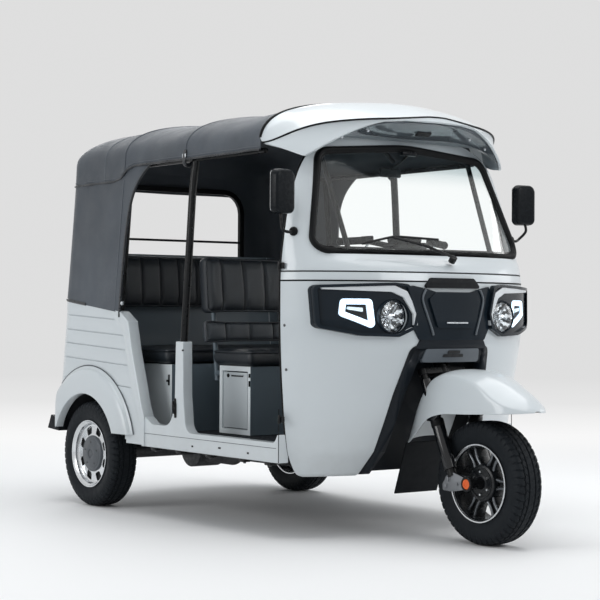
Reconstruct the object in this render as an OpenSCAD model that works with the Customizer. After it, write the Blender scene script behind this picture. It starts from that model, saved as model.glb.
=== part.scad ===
// Three-wheeled auto rickshaw with a folding-top canopy, built as an assembly.
// Millimetres, +Z up, the front faces -Y, origin on the ground under the middle of the vehicle.

/* [Overall] */
// Width across the flat body sides
body_w = 1310; // [1080:1:1600]
// Distance between the front and rear axles
wheelbase = 2070; // [1700:1:2500]
// Front axle to the tip of the front fender
front_over = 275; // [270:1:330]
// Rear axle to the back of the rear bumper
rear_over = 441; // [420:1:520]
// Height of the crown of the roof
roof_h = 1834; // [1700:1:2000]

/* [Body] */
// Thickness of the pressed body sides, from outer skin to inner skin
wall = 50; // [30:1:60]
// Thickness of the front cowl's double skin
cowl_wall = 28; // [18:1:40]
// Height of the underside of the sills
sill_low = 318; // [280:1:340]
// Height of the top of the sills
sill_top = 400; // [380:1:440]
// Height of the cabin floor's upper face
floor_z = 372; // [350:1:380]
// Thickness of the cabin floor
floor_t = 18; // [8:1:30]
// Height of the waist, where the canopy meets the body
waist_z = 925; // [860:1:980]
// Height of the top of the centre posts
post_top = 800; // [700:1:860]
// Width of a centre post seen from the side
post_w = 60; // [45:1:90]
// Rear axle to the front face of the centre posts
post_to_axle = 812; // [780:1:900]
// Length of the front door opening's lower edge chamfer
door_chamfer = 78; // [40:1:100]

/* [Wheels] */
// Outside diameter of every tyre
tyre_d = 500; // [460:1:540]
// Width of every tyre
tyre_w = 135; // [110:1:150]
// Diameter of the rim's bead seat
rim_d = 308; // [280:1:330]
// Distance between the middles of the rear tyres
rear_track = 1196; // [1100:1:1220]
// Radius of every wheel bearing's bore
bearing_r = 20; // [14:1:24]

/* [Steering] */
// Rake of the steering axis from the vertical, in degrees
rake = 24; // [15:1:30]
// Radius of the steering stem
stem_r = 19; // [15:1:24]
// Radial running clearance of the steering stem and the wheel bearings
run_gap = 0.05; // [0.02:0.01:0.1]
// Half the distance between the fork's legs
fork_half = 104; // [98:1:112]
// Half the width of the handlebar
bar_half = 305; // [260:1:360]
// Height of the handlebar's middle
bar_z = 1215; // [1180:1:1260]

/* [Glass] */
// Half the width of the windshield opening at its foot
glass_foot = 590; // [560:1:600]
// Half the width of the windshield opening at its head
glass_head = 470; // [440:1:500]
// Height of the windshield opening's foot
glass_low = 1172; // [1166:1:1200]
// Height of the windshield opening's head
glass_top = 1618; // [1580:1:1630]
// Thickness of the windshield
glass_t = 5; // [4:1:8]

/* [Canopy] */
// Thickness of the canopy cloth
cloth = 7; // [5:1:10]
// Diameter of the canopy's frame tubes
tube_d = 34; // [25:1:40]
// Half the width of the rear window
window_half = 430; // [380:1:450]

/* [Seats] */
// Depth of the driver's seat box
driver_box_len = 245; // [220:1:280]
// Half the width of the driver's seat box
driver_half = 362; // [300:1:380]
// Height of the driver's seat box
driver_box_top = 688; // [640:1:700]
// Thickness of the seat cushions
cushion_t = 76; // [60:1:90]
// Depth of the passenger bench's box
bench_len = 590; // [540:1:620]
// Height of the passenger bench's box
bench_top = 688; // [650:1:700]

/* [Hidden] */

paint = "#c9d0d4";
plastic = "#2b3036";
cloth_grey = "#4a5058";
black = "#17191c";
steel = "#6d7277";

half_w = body_w / 2;
length = wheelbase + front_over + rear_over;
front_y = front_over - length / 2;   // front axle
rear_y = length / 2 - rear_over;     // rear axle
axle_z = tyre_d / 2;
big = 3000;

// ---------------------------------------------------------------- shapes used by many pieces

// A value read off a table of [z, value, ...] rows, column c
function column(table, z, c) = lookup(z, [for (row = table) [row[0], row[c]]]);
function mix(a, b, t) = a + (b - a) * t;
function flat(list) = [for (part = list) for (item = part) item];

// A closed shell between two grids of points with the same number of rows and columns
module thick_sheet(outer, inner) {
    rows = len(outer);
    cols = len(outer[0]);
    shift = rows * cols;
    function at(r, c) = r * cols + c;
    skin = flat([for (r = [0 : rows - 2]) for (c = [0 : cols - 2])
        [[at(r, c), at(r + 1, c), at(r + 1, c + 1)], [at(r, c), at(r + 1, c + 1), at(r, c + 1)]]]);
    back = [for (f = skin) [f[0] + shift, f[2] + shift, f[1] + shift]];
    rim = concat(
        [for (c = [0 : cols - 2]) [at(0, c), at(0, c + 1)]],
        [for (r = [0 : rows - 2]) [at(r, cols - 1), at(r + 1, cols - 1)]],
        [for (c = [cols - 1 : -1 : 1]) [at(rows - 1, c), at(rows - 1, c - 1)]],
        [for (r = [rows - 1 : -1 : 1]) [at(r, 0), at(r - 1, 0)]]);
    edge = flat([for (e = rim)
        [[e[0], e[1], e[1] + shift], [e[0], e[1] + shift, e[0] + shift]]]);
    r = floor((rows - 1) / 2);
    c = floor((cols - 1) / 2);
    outward = cross(outer[r + 1][c] - outer[r][c], outer[r + 1][c + 1] - outer[r][c]) * (outer[r][c] - inner[r][c]);
    polyhedron(concat(flat(outer), flat(inner)), turned(concat(skin, back, edge), outward > 0));
}
function turned(faces, swap) = swap ? [for (f = faces) [f[0], f[2], f[1]]] : faces;

// A closed solid through a list of convex rings
module loft(rings) {
    m = len(rings);
    n = len(rings[0]);
    side = flat([for (k = [0 : m - 2]) for (i = [0 : n - 1])
        [[k * n + i, k * n + (i + 1) % n, (k + 1) * n + (i + 1) % n],
         [k * n + i, (k + 1) * n + (i + 1) % n, (k + 1) * n + i]]]);
    first = [for (i = [1 : n - 2]) [0, i + 1, i]];
    last = [for (i = [1 : n - 2]) [(m - 1) * n, (m - 1) * n + i, (m - 1) * n + i + 1]];
    third = floor(n / 3);
    along = cross(rings[0][third] - rings[0][0], rings[0][2 * third] - rings[0][0]) * (rings[1][0] - rings[0][0]);
    polyhedron(flat(rings), turned(concat(side, first, last), along > 0));
}

module rod(a, b, r) {
    d = b - a;
    translate(a)
        rotate([0, acos(d[2] / norm(d)), atan2(d[1], d[0])])
            cylinder(h = norm(d), r = r, $fn = 32);
}

// A path with its corners rounded off over a distance of run
function eased(p, run, steps = 4) = concat([p[0]], flat([for (i = [1 : len(p) - 2]) let (
        u = p[i - 1] - p[i], v = p[i + 1] - p[i], cut = min(run, 0.45 * norm(u), 0.45 * norm(v)))
    [for (k = [0 : steps]) let (t = k / steps)
        p[i] + unit(u) * cut * pow(1 - t, 2) + unit(v) * cut * pow(t, 2)]]), [p[len(p) - 1]]);
// A bent tube along a path that never runs parallel to the given side direction
module bent_tube(path, r, side = [0, 1, 0], run = 60, steps = 4, facets = 16) {
    p = run > 0 ? eased(path, run, steps) : path;
    n = len(p) - 1;
    loft([for (i = [0 : n]) let (
            t = unit(unit(p[min(n, i + 1)] - p[max(0, i == n ? n - 1 : i)]) + unit(p[i == 0 ? 1 : i] - p[i == 0 ? 0 : i - 1])),
            a = unit(side - t * (t * side)), b = cross(t, a))
        [for (k = [0 : facets - 1]) let (w = 360 * k / facets) p[i] + r * (a * cos(w) + b * sin(w))]]);
}

// A plate whose outline is given in Y and Z, from x0 to x1
module side_plate(outline, x0, x1) {
    translate([x0, 0, 0]) rotate([90, 0, 90]) linear_extrude(height = x1 - x0) polygon(outline);
}

// A plate whose outline is given in X and Z, from y0 to y1
module front_plate(outline, y0, y1) {
    translate([0, y1, 0]) rotate([90, 0, 0]) linear_extrude(height = y1 - y0) polygon(outline);
}

// A box with rounded upright edges
module round_box(x0, x1, y0, y1, z0, z1, r) {
    translate([0, 0, z0]) linear_extrude(height = z1 - z0) union() {
        translate([x0 + r, y0]) square([x1 - x0 - 2 * r, y1 - y0]);
        translate([x0, y0 + r]) square([x1 - x0, y1 - y0 - 2 * r]);
        for (x = [x0 + r, x1 - r]) for (y = [y0 + r, y1 - r]) translate([x, y]) circle(r = r, $fn = 32);
    }
}

module both_sides() {
    children();
    mirror([1, 0, 0]) children();
}

// The points of an outline with its corners rounded: each corner is [x, y, radius]
function rounded(corners, steps = 5) = let (n = len(corners)) flat([for (i = [0 : n - 1])
    let (p = corners[i], a = corners[(i + n - 1) % n], b = corners[(i + 1) % n],
        c = [p[0], p[1]], u = unit([a[0], a[1]] - c), v = unit([b[0], b[1]] - c),
        half = acos(u * v) / 2, run = p[2] / tan(half), middle = c + unit(u + v) * p[2] / sin(half),
        start = c + u * run - middle, end = c + v * run - middle,
        turn = turn_angle(start, end))
    p[2] == 0 ? [c] : [for (k = [0 : steps]) middle + spin2(start, turn * k / steps)]]);
function unit(v) = v / norm(v);
function spin2(v, t) = [v[0] * cos(t) - v[1] * sin(t), v[0] * sin(t) + v[1] * cos(t)];
function turn_angle(a, b) = atan2(a[0] * b[1] - a[1] * b[0], a * b);

// ---------------------------------------------------------------- front cowl

// Height, inset from the body side, middle of the nose curve and its depth ahead of that, squareness
cowl_rows = [
    [258, 16, 674, 244, 2.0],
    [266, 5, 670, 258, 2.0],
    [280, 0, 668, 267, 2.0],
    [360, 0, 655, 320, 2.0],
    [480, 0, 636, 332, 2.0],
    [600, 0, 618, 340, 2.0],
    [700, 0, 603, 357, 2.0],
    [800, 0, 588, 373, 2.0],
    [900, 0, 572, 358, 2.0],
    [1060, 0, 568, 345, 2.0],
    [1100, 3, 568, 336, 2.0],
    [1135, 7, 568, 310, 2.1],
    [1166, 11, 568, 267, 2.2],
    [1320, 32, 597, 216, 2.4],
    [1480, 60, 628, 168, 2.6],
    [1640, 90, 652, 116, 2.8],
    [1682, 97, 656, 102, 2.8],
];
cowl_back = 700;      // how far the sides run back from the front axle before they are trimmed
jamb_y = front_y + 540;
cowl_low = cowl_rows[0][0];
cowl_high = cowl_rows[len(cowl_rows) - 1][0];

// A point on the nose's plan curve at height z, lying d inside the outer skin
function nose(z, t, d = 0) = let (
        a = half_w - column(cowl_rows, z, 1) - d, c = front_y + column(cowl_rows, z, 2),
        b = column(cowl_rows, z, 3) - d, n = column(cowl_rows, z, 4))
    [a * sign(sin(t)) * pow(abs(sin(t)), 2 / n), c - b * pow(abs(cos(t)), 2 / n), z];
// One horizontal line of the skin, from the right side round the nose to the left side
function nose_line(z, d = 0, steps = 36) = let (a = half_w - column(cowl_rows, z, 1) - d)
    concat([[-a, front_y + cowl_back, z]], [for (i = [0 : steps]) nose(z, -90 + 180 * i / steps, d)],
        [[a, front_y + cowl_back, z]]);
function skin_heights(low, high) = concat([low],
    [for (row = cowl_rows) if (row[0] > low + 1 && row[0] < high - 1) row[0]], [high]);
// A shell that follows the cowl's skin, from d0 to d1 inside it
module skin_shell(low, high, d0, d1) {
    thick_sheet([for (z = skin_heights(low, high)) nose_line(z, d0)],
        [for (z = skin_heights(low, high)) nose_line(z, d1)]);
}
// All that lies inside the skin, d deep
module skin_solid(low, high, d) {
    loft([for (z = skin_heights(low, high)) nose_line(z, d)]);
}

// Front view of the windshield opening, grown by g
function glass_outline(g) = rounded([
    [-glass_foot - g, glass_low - g, 62 + g], [glass_foot + g, glass_low - g, 62 + g],
    [glass_head + g, glass_top + g, 80 + g], [0, glass_top + glass_arch + g, 900],
    [-glass_head - g, glass_top + g, 80 + g]]);
glass_arch = 36;      // how much higher the opening is in the middle

bay_top = 800;        // height of the top of the front wheel's bay
bay_head = 212;       // half its width there
bay_foot = 318;       // half its width at the bottom
bay_trim = 46;        // width of the dark trim round it
bay_back = front_y + 545;   // its rear wall
function bay_outline(g) = let (s = (bay_foot - bay_head) / (bay_top - cowl_low)) rounded([
    [-bay_foot - g - 60 * s, cowl_low - 60, 0], [-bay_head - g, bay_top + g, 40],
    [bay_head + g, bay_top + g, 40], [bay_foot + g + 60 * s, cowl_low - 60, 0]]);

module front_cowl() {
    color(paint) difference() {
        skin_shell(cowl_low, cowl_high, 0, cowl_wall);
        front_plate(glass_outline(0), front_y - 100, front_y + cowl_back);
        front_plate(bay_outline(0), front_y - 100, front_y + 480);
        both_sides() lamp_bore(lamp_r + 2);
        // everything behind the door jamb, which leans forward with the pillar
        side_plate([[jamb_y, cowl_low - 10], [jamb_y, 1060], [jamb_y + 22, cowl_high + 10],
            [big, cowl_high + 10], [big, cowl_low - 10]], -big, big);
    }
}

module windshield_seal() {
    color(black) intersection() {
        skin_shell(glass_low - 60, cowl_high - 1, -7, cowl_wall - 6);
        difference() {
            front_plate(glass_outline(-0.5), front_y - 100, front_y + cowl_back);
            front_plate(glass_outline(-26), front_y - 110, front_y + cowl_back + 10);
        }
    }
}

module windshield_glass() {
    color([0.8, 0.86, 0.9, 0.35]) intersection() {
        skin_shell(glass_low - 60, cowl_high - 2, 6, 6 + glass_t);
        front_plate(glass_outline(-26.5), front_y - 100, front_y + cowl_back);
    }
}

mask_low = 842;
mask_high = 1052;
// Front view of the dark mask: two lamp pods joined by a notched middle
mask_half = [[-600, 1044, 22], [-590, 872, 26], [-440, 840, 30], [-286, 835, 26], [-212, 868, 12],
    [-184, 821, 14], [0, 821, 0]];
mask_head = [[0, 1016, 0], [-96, 1016, 12], [-150, 1030, 14], [-215, 1052, 20], [-300, 1056, 24]];
function mirrored(list) = [for (i = [len(list) - 1 : -1 : 0]) [-list[i][0], list[i][1], list[i][2]]];
mask_outline = rounded(concat(mask_half, [for (c = mirrored(mask_half)) if (c[0] > 0) c],
    mirrored(mask_head), [for (c = mask_head) if (c[0] < 0) c]));
mask_proud = 26;      // how far the mask stands out of the cowl
lamp_x = 305;
lamp_z = 918;
lamp_r = 66;

function lamp_front(x) = let (a = half_w, c = front_y + column(cowl_rows, lamp_z, 2),
        b = column(cowl_rows, lamp_z, 3))
    c - (b + mask_proud) * sqrt(1 - pow(x / (a + mask_proud), 2));

module headlamp_mask() {
    color(plastic) difference() {
        intersection() {
            skin_shell(mask_low - 20, mask_high + 20, -mask_proud, -0.5);
            front_plate(mask_outline, front_y - 100, front_y + 420);
        }
        both_sides() lamp_bore(lamp_r + 2);
        both_sides() daytime_outline(2, 60);
    }
    // the intake panel over the mask
    color(plastic) intersection() {
        skin_shell(1052, 1100, -12, -0.5);
        front_plate([[-150, 1056], [150, 1056], [112, 1092], [-112, 1092]],
            front_y - 100, front_y + 420);
    }
}

module lamp_bore(r) {
    translate([-lamp_x, front_y, lamp_z]) rotate([90, 0, 0]) cylinder(h = 800, r = r, center = true, $fn = 64);
}

lamp_y = lamp_front(lamp_x + lamp_r);
module headlamps() {
    color("silver") both_sides() translate([-lamp_x, lamp_y, lamp_z]) rotate([-90, 0, 0]) difference() {
        cylinder(h = 34, r = lamp_r, $fn = 64);
        translate([0, 0, -1]) cylinder(h = 24, r1 = lamp_r - 4, r2 = 22, $fn = 64);
    }
}

// The ring-shaped daytime lamp beside the headlamp, grown by g
module daytime_outline(g, depth) {
    front_plate([[-520 - g, 980 + g], [-520 - g, 922 - g], [-395 + g, 876 - g], [-408 + g, 978 + g]],
        front_y - 100, front_y + 420);
}
module front_lamp_lenses() {
    color([0.85, 0.92, 0.97]) both_sides() {
        translate([-lamp_x, lamp_y - 0.5, lamp_z]) rotate([90, 0, 0]) cylinder(h = 5, r1 = lamp_r, r2 = lamp_r - 6, $fn = 64);
        intersection() {
            skin_shell(mask_low, mask_high, -mask_proud - 2, -mask_proud + 14);
            difference() {
                daytime_outline(0, 60);
                front_plate([[-500, 962], [-500, 935], [-418, 903], [-426, 960]], front_y - 110, front_y + 430);
            }
        }
    }
}

// ---------------------------------------------------------------- front wheel bay

stem_foot = [0, front_y + 248, 620];      // a point on the steering axis
stem_up = [0, sin(rake), cos(rake)];
function on_stem(z) = stem_foot + stem_up * ((z - stem_foot[2]) / stem_up[2]);
head_low = 712;
head_high = 900;

module along_stem(z) {
    translate(on_stem(z)) rotate([-rake, 0, 0]) children();
}

module wheel_bay_surround() {
    t = 12;
    color(plastic) difference() {
        union() {
            intersection() {
                difference() {
                    front_plate(bay_outline(-0.5), front_y - 60, bay_back);
                    front_plate(bay_outline(-t), front_y - 70, bay_back - t);
                }
                skin_solid(cowl_low + 4, bay_top + 60, -6);
            }
            // the dark trim that frames the bay
            intersection() {
                skin_shell(cowl_low + 4, bay_top + 20, -6, 24);
                difference() {
                    front_plate(bay_outline(-0.5), front_y - 60, front_y + 480);
                    front_plate(bay_outline(-bay_trim), front_y - 70, front_y + 490);
                }
            }
            // the panel over the wheel
            intersection() {
                skin_shell(cowl_low, bay_top + 20, 14, 26);
                intersection() {
                    front_plate([[-bay_head - 30, 728], [bay_head + 30, 728], [bay_head + 30, bay_top],
                        [-bay_head - 30, bay_top]], front_y - 60, front_y + 480);
                    front_plate(bay_outline(-1), front_y - 70, front_y + 490);
                }
            }
        }
        along_stem(head_low - 90) cylinder(h = 420, r = 46, $fn = 48);
        translate([-big, -big, 0]) cube([2 * big, 2 * big, cowl_low + 6]);
    }
}

// ---------------------------------------------------------------- roof

cap_back = front_y + 748;       // joint between the roof cap and the canopy
cap_mid = front_y + 618;        // where the cap's front curve starts
cap_depth = 314;
cap_half = half_w - 78;         // half its width at the foot of the brow
cap_rear_half = half_w - 47;    // half its width at the joint
cap_sq = 1.38;
eave_z = roof_h - 196;          // height of the roof's side edges
cap_steps = 32;
cap_t = 20;

function arch(x) = pow(max(0, 1 - pow(min(1, abs(x)), 2.5)), 0.4);
function cap_edge(u) = [cap_half * sign(u) * pow(abs(sin(90 * u)), 2 / cap_sq),
    cap_mid - cap_depth * pow(cos(90 * abs(u)), 2 / cap_sq)];
function ease(t) = let (k = max(0, min(1, t))) k * k * (3 - 2 * k);
function lip_z(u) = mix(roof_h - 104, eave_z - 84, ease((abs(u) - 0.3) / 0.68));
function cap_point(u, v, drop = 0) = let (
        back = [cap_rear_half * u, cap_back], front = cap_edge(u), z0 = mix(eave_z, roof_h, arch(u)),
        z1 = lip_z(u), bulge = 30 * (1 - pow(abs(u), 3)) * sin(180 * v))
    [mix(back[0], front[0], v), mix(back[1], front[1], v), mix(z0, z1, pow(v, 1.15)) + bulge - drop];
function skirt(u) = 10 + 8 * pow(sin(180 * min(1, abs(u))), 2);
cap_cols = [0, 0.12, 0.25, 0.4, 0.55, 0.7, 0.82, 0.92, 1];
function cap_u(i) = -1 + 2 * i / cap_steps;

module roof_cap() {
    color(paint) thick_sheet(
        [for (i = [0 : cap_steps]) concat([for (v = cap_cols) cap_point(cap_u(i), v)],
            [cap_point(cap_u(i), 1, skirt(cap_u(i)))])],
        [for (i = [0 : cap_steps]) concat([for (v = cap_cols) cap_point(cap_u(i) * 0.955, v * 0.93, cap_t)],
            [cap_point(cap_u(i) * 0.955, 0.93, skirt(cap_u(i)) + 2)])]);
}

module sun_visor() {
    color([0.3, 0.33, 0.36]) thick_sheet(
        [for (i = [4 : cap_steps - 4]) [for (v = [0.74, 0.84, 0.93]) cap_point(cap_u(i) * 0.94, v, 24 + 30 * (0.93 - v))]],
        [for (i = [4 : cap_steps - 4]) [for (v = [0.74, 0.84, 0.93]) cap_point(cap_u(i) * 0.94, v, 32 + 30 * (0.93 - v))]]);
}

// Height of the body's top edge under the canopy, rising a little to the rear
function belt_z(y) = waist_z + 0.109 * max(0, y - curtain_y);
// Canopy cloth: plan of the walls, with round rear corners
cloth_back = rear_y + 318;
cloth_corner = 120;
curtain_y = rear_y - 278;       // front edge of the side curtains
side_lean = 55;                 // how far the canopy narrows from the waist to the eaves
function canopy_half(z) = half_w + 4 - side_lean * max(0, z - waist_z) / (eave_z - waist_z);
function wall_line(z, d) = let (a = canopy_half(z) - d, y = cloth_back - d, r = cloth_corner - d)
    concat([[-a, curtain_y - 190, z]], [for (t = [0 : 15 : 90]) [-a + r - r * cos(t), y - r + r * sin(t), z]],
        [for (t = [90 : -15 : 0]) [a - r + r * cos(t), y - r + r * sin(t), z]], [[a, curtain_y - 190, z]]);
function roof_half(y) = let (from_back = max(0, y - (cloth_back - cloth_corner)))
    canopy_half(eave_z) - (cloth_corner - sqrt(max(0, pow(cloth_corner, 2) - pow(from_back, 2))));
function crown(y) = let (s = max(0, (y - (cloth_back - 330)) / 330))
    eave_z + (roof_h - 6 - eave_z) * sqrt(max(0, 1 - pow(min(1, s), 3.2)));
roof_ys = concat([for (k = [0 : 6]) mix(cap_back + 1, cloth_back - 330, k / 6)],
    [for (s = [0.25, 0.45, 0.62, 0.76, 0.87, 0.95, 0.99, 1]) cloth_back - 330 + 330 * s]);
// How far the roof cloth hangs down over the walls, deeper over the side curtains
hem_rows = [[-2000, 30], [0, 30], [55, 44], [120, 84], [180, 96], [2000, 96]];
function hem(y) = column(hem_rows, y - (curtain_y - 40), 1);
function roof_line(y, d) = let (a = roof_half(y) + 3 - d, h = crown(y) - eave_z, back = y > cloth_back - 60 ? d : 0)
    concat([[-a, y - back, eave_z - hem(y)]], [for (i = [0 : 28]) let (u = -1 + i / 14, x = sign(u) * (1 - pow(1 - abs(u), 1.6)))
        [a * x, y - back, eave_z + max(0, h * arch(x) - (abs(u) == 1 ? 0 : d))]], [[a, y - back, eave_z - hem(y)]]);
function hem_line(d) = let (last = roof_line(cloth_back + 3, d)) [for (i = [0 : len(last) - 1])
    [last[i][0], last[i][1], eave_z - hem(cloth_back) - (i == 0 || i == len(last) - 1 ? 1 : 0)]];
function roof_grid(d) = concat([for (y = roof_ys) roof_line(y, d)], [hem_line(d)]);

// Side view of the opening ahead of a side curtain
curtain_edge = [[curtain_y - 300, waist_z], [curtain_y, waist_z], [curtain_y - 4, 1250], [curtain_y - 20, 1390],
    [curtain_y - 44, 1470], [curtain_y - 84, 1532], [curtain_y - 130, 1574], [curtain_y - 188, eave_z - 26],
    [curtain_y - 300, eave_z - 26]];
window_low = 1040;       // lower edge of the rear window
wall_heights = [waist_z - 10, 1060, 1180, 1300, 1420, 1530, eave_z - 5];
module canopy_canvas() {
    color(cloth_grey) {
        difference() {
            thick_sheet([for (z = wall_heights) wall_line(z, 0)], [for (z = wall_heights) wall_line(z, cloth)]);
            front_plate(rounded([[-window_half, window_low, 90], [window_half, window_low, 90],
                [window_half, 1562, 110], [-window_half, 1562, 110]]), cloth_back - 60, cloth_back + 20);
            side_plate(curtain_edge, -big, big);
            side_plate([[-big, 0], [-big, waist_z + 1], [curtain_y, waist_z + 1], [big, belt_z(big) + 1], [big, 0]], -big, big);
        }
        thick_sheet(roof_grid(0), roof_grid(cloth));
    }
}

post_y = rear_y - post_to_axle;         // front face of the centre posts
hoop_ys = [cap_back + 26, post_y + 26, curtain_y + 30];
// Middle of a tube of radius r standing just inside the canopy's side
function tube_x(z, r) = -min(canopy_half(z) - cloth - r - 4, half_w - wall / 2);
stay_r = 11;
stay_path = [[-396, front_y + 402, glass_low - 20], [-416, front_y + 602, eave_z - 4]];
module canopy_frame() {
    r = tube_d / 2;
    thin = r * 0.7;
    rail_z = eave_z - 26;
    a = -tube_x(rail_z, r) - 4;
    color(black) {
        // side rails and a hoop over each post
        both_sides() bent_tube([[-a, cap_back + 8, rail_z], [-a, curtain_y + 60, rail_z]], thin, [0, 0, 1], 0);
        for (y = hoop_ys) bent_tube([for (i = [0 : 16]) let (u = -1 + i / 8)
            [a * u, y, rail_z + (crown(y) - 40 - rail_z) * arch(u * 0.98)]], thin, [0, 1, 0], 0);
        both_sides() {
            bent_tube([[tube_x(post_top, r), post_y + post_w / 2, post_top - 7],
                [tube_x(rail_z - 130, r), post_y + post_w / 2, rail_z - 130], [-a, post_y + 26, rail_z]], r);
            bent_tube([[tube_x(waist_z, r), curtain_y + 34, belt_z(curtain_y + 34) + 0.5],
                [tube_x(rail_z - 130, r), curtain_y + 34, rail_z - 130], [-a, curtain_y + 30, rail_z]], r * 0.8);
            // stays behind the windshield
            bent_tube(stay_path, stay_r, [0, 1, 0], 0);
        }
    }
}

module rear_window_frame() {
    y0 = cloth_back - cloth - 22;
    color(black) {
        difference() {
            front_plate(rounded([[-window_half - 14, window_low - 14, 104], [window_half + 14, window_low - 14, 104],
                [window_half + 14, 1576, 124], [-window_half - 14, 1576, 124]]), y0, cloth_back - cloth - 0.5);
            front_plate(rounded([[-window_half + 12, window_low + 12, 78], [window_half - 12, window_low + 12, 78],
                [window_half - 12, 1550, 98], [-window_half + 12, 1550, 98]]), y0 - 1, cloth_back);
        }
        rod([-window_half + 6, y0 + 11, 1300], [window_half - 6, y0 + 11, 1300], 6);
    }
}

// ---------------------------------------------------------------- sides and tail

tail_rows = [[330, 396], [420, 388], [585, 358], [890, 318], [waist_z + 90, 316]];
tail_corner = 120;
quarter_front = rear_y - 410;       // where the quarter panel meets the sill
function tail_y(z) = rear_y + column(tail_rows, z, 1);
function quarter_line(z, d) = let (a = half_w - d, y = tail_y(z) - d, r = tail_corner - d, y0 = rear_y - 430)
    concat([[-a, y0, z]], [for (t = [0 : 10 : 90]) [-a + r - r * cos(t), y - r + r * sin(t), z]], [[-440, y, z]]);
quarter_heights = [sill_low + 6, 420, 585, 760, 890, waist_z + 66];

opening_rear = [rear_y - 350, waist_z - 38];    // upper corner of the rear door opening
// Side view of the rear quarter, with the swept edge of the door opening
quarter_outline = [[quarter_front, sill_low], [quarter_front, sill_top + 64], [rear_y - 422, 500],
    [rear_y - 372, 760], [rear_y - 352, waist_z - 38], [curtain_y, waist_z], [rear_y + 500, belt_z(rear_y + 500)],
    [rear_y + 500, 390], [rear_y, 390], [rear_y, sill_low]];
arch_r = 318;       // radius of the wheel arch cut in the body

module rear_quarter_panels() {
    color(paint) both_sides() difference() {
        intersection() {
            thick_sheet([for (z = quarter_heights) quarter_line(z, 0)], [for (z = quarter_heights) quarter_line(z, wall)]);
            side_plate(quarter_outline, -big, 0);
        }
        translate([-half_w - 60, rear_y, axle_z]) rotate([0, 90, 0]) cylinder(h = 200, r = arch_r + 0.5, $fn = 72);
        // seats for the rear tubes of the canopy
        translate([tube_x(waist_z, tube_d / 2), curtain_y + 34, waist_z - 20]) cylinder(h = 100, r = tube_d * 0.4 + 3, $fn = 32);
        // shallow pressed bands
        for (band = [[822, 884, 312], [694, 752, 330], [585, 636, 350]])
            side_plate([[rear_y - band[2] + 6, band[0]], [rear_y - band[2] - 22, band[1]],
                [rear_y + 190, band[1] + 14], [rear_y + 190, band[0] + 14]], -half_w - 10, -half_w + 5);
    }
}

flare_out = 40;     // how far the fenders stand out of the body side
flare_r = 420;      // outer radius of a fender
lip_r = 288;        // radius of a fender's opening
module rear_fenders() {
    color(paint) both_sides() difference() {
        translate([-half_w - 0.5, rear_y, axle_z]) rotate([0, -90, 0]) rotate_extrude($fn = 96)
            polygon([[lip_r, 0], [lip_r, flare_out], [lip_r + 8, flare_out], [flare_r - 42, flare_out - 4],
                [flare_r - 18, flare_out - 14], [flare_r - 4, 12], [flare_r, 0]]);
        translate([-half_w - 80, rear_y - 500, axle_z - 500]) cube([200, 1000, 615]);
        translate([-half_w - 80, tail_y(400) - tail_corner + 4, 0]) cube([200, 500, 1000]);
    }
}

housing_in = rear_track / 2 - tyre_w / 2 - 26;     // inner wall of the wheel housings
module wheel_housings() {
    color(plastic) both_sides() difference() {
        translate([-half_w + 6, rear_y, axle_z]) rotate([0, 90, 0]) difference() {
            cylinder(h = half_w - 6 - housing_in, r = arch_r, $fn = 72);
            translate([0, 0, -1]) cylinder(h = half_w - 6 - housing_in - 5, r = arch_r - 8, $fn = 72);
        }
        translate([-half_w - 60, rear_y - 500, axle_z - 500]) cube([400, 1000, 500 + floor_z - floor_t - axle_z]);
    }
}

sill_rear = quarter_front - 1;
module side_sills() {
    color(paint) both_sides() difference() {
        union() {
            side_plate([[jamb_y + 2, sill_low], [jamb_y + 2, 420 + door_chamfer],
                [jamb_y + 14, 420 + door_chamfer], [jamb_y + 14, 430], [jamb_y + door_chamfer, sill_top],
                [post_y, sill_top], [post_y, post_top], [post_y + post_w, post_top],
                [post_y + post_w + 4, 500], [post_y + post_w + 52, sill_top + 22],
                [sill_rear - 80, sill_top + 22], [sill_rear - 26, sill_top + 34], [sill_rear, sill_top + 60], [sill_rear, sill_low]],
                -half_w, -half_w + wall);
        }
        // the socket for the canopy's centre tube
        translate([-half_w + wall / 2, post_y + post_w / 2, post_top - 8]) cylinder(h = 20, r = tube_d / 2 + 1, $fn = 32);
    }
}

tail_half = 439;
lid_half = 258;
lid_low = 474;
lid_high = 762;
lid_axis = [tail_y(lid_high + 12) + 11, lid_high + 12];     // Y and Z of the lid's hinge
pin_r = 3;
module lid_hinges(side_gap, r0, r1) {
    for (x = [-180, 180]) translate([x, lid_axis[0], lid_axis[1]]) rotate([0, 90, 0]) difference() {
        cylinder(h = 80 - 2 * side_gap, r = r1, center = true, $fn = 32);
        if (r0 > 0) cylinder(h = 90, r = r0, center = true, $fn = 32);
    }
}
tail_low = 390;         // lower edge of the tail
tail_heights = [tail_low, 420, 585, 760, 890, waist_z + 62];
module tail_panel() {
    t = wall * 0.6;
    color(paint) {
        difference() {
            thick_sheet(
                [for (z = tail_heights) [for (x = [-tail_half, tail_half]) [x, tail_y(z), z]]],
                [for (z = tail_heights) [for (x = [-tail_half, tail_half]) [x, tail_y(z) - t, z]]]);
            front_plate([[-lid_half - 6, lid_low - 6], [lid_half + 6, lid_low - 6], [lid_half + 6, lid_high + 6],
                [-lid_half - 6, lid_high + 6]], rear_y + 200, rear_y + 500);
        }
        // ears and pins of the lid's hinges
        for (x = [-180, 180]) {
            for (e = [x - 50, x + 45.5]) translate([e, lid_axis[0] - 16, lid_axis[1] - 5]) cube([4.5, 22, 22]);
            translate([x, lid_axis[0], lid_axis[1]]) rotate([0, 90, 0]) cylinder(h = 94, r = pin_r, center = true, $fn = 32);
        }
    }
}
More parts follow.
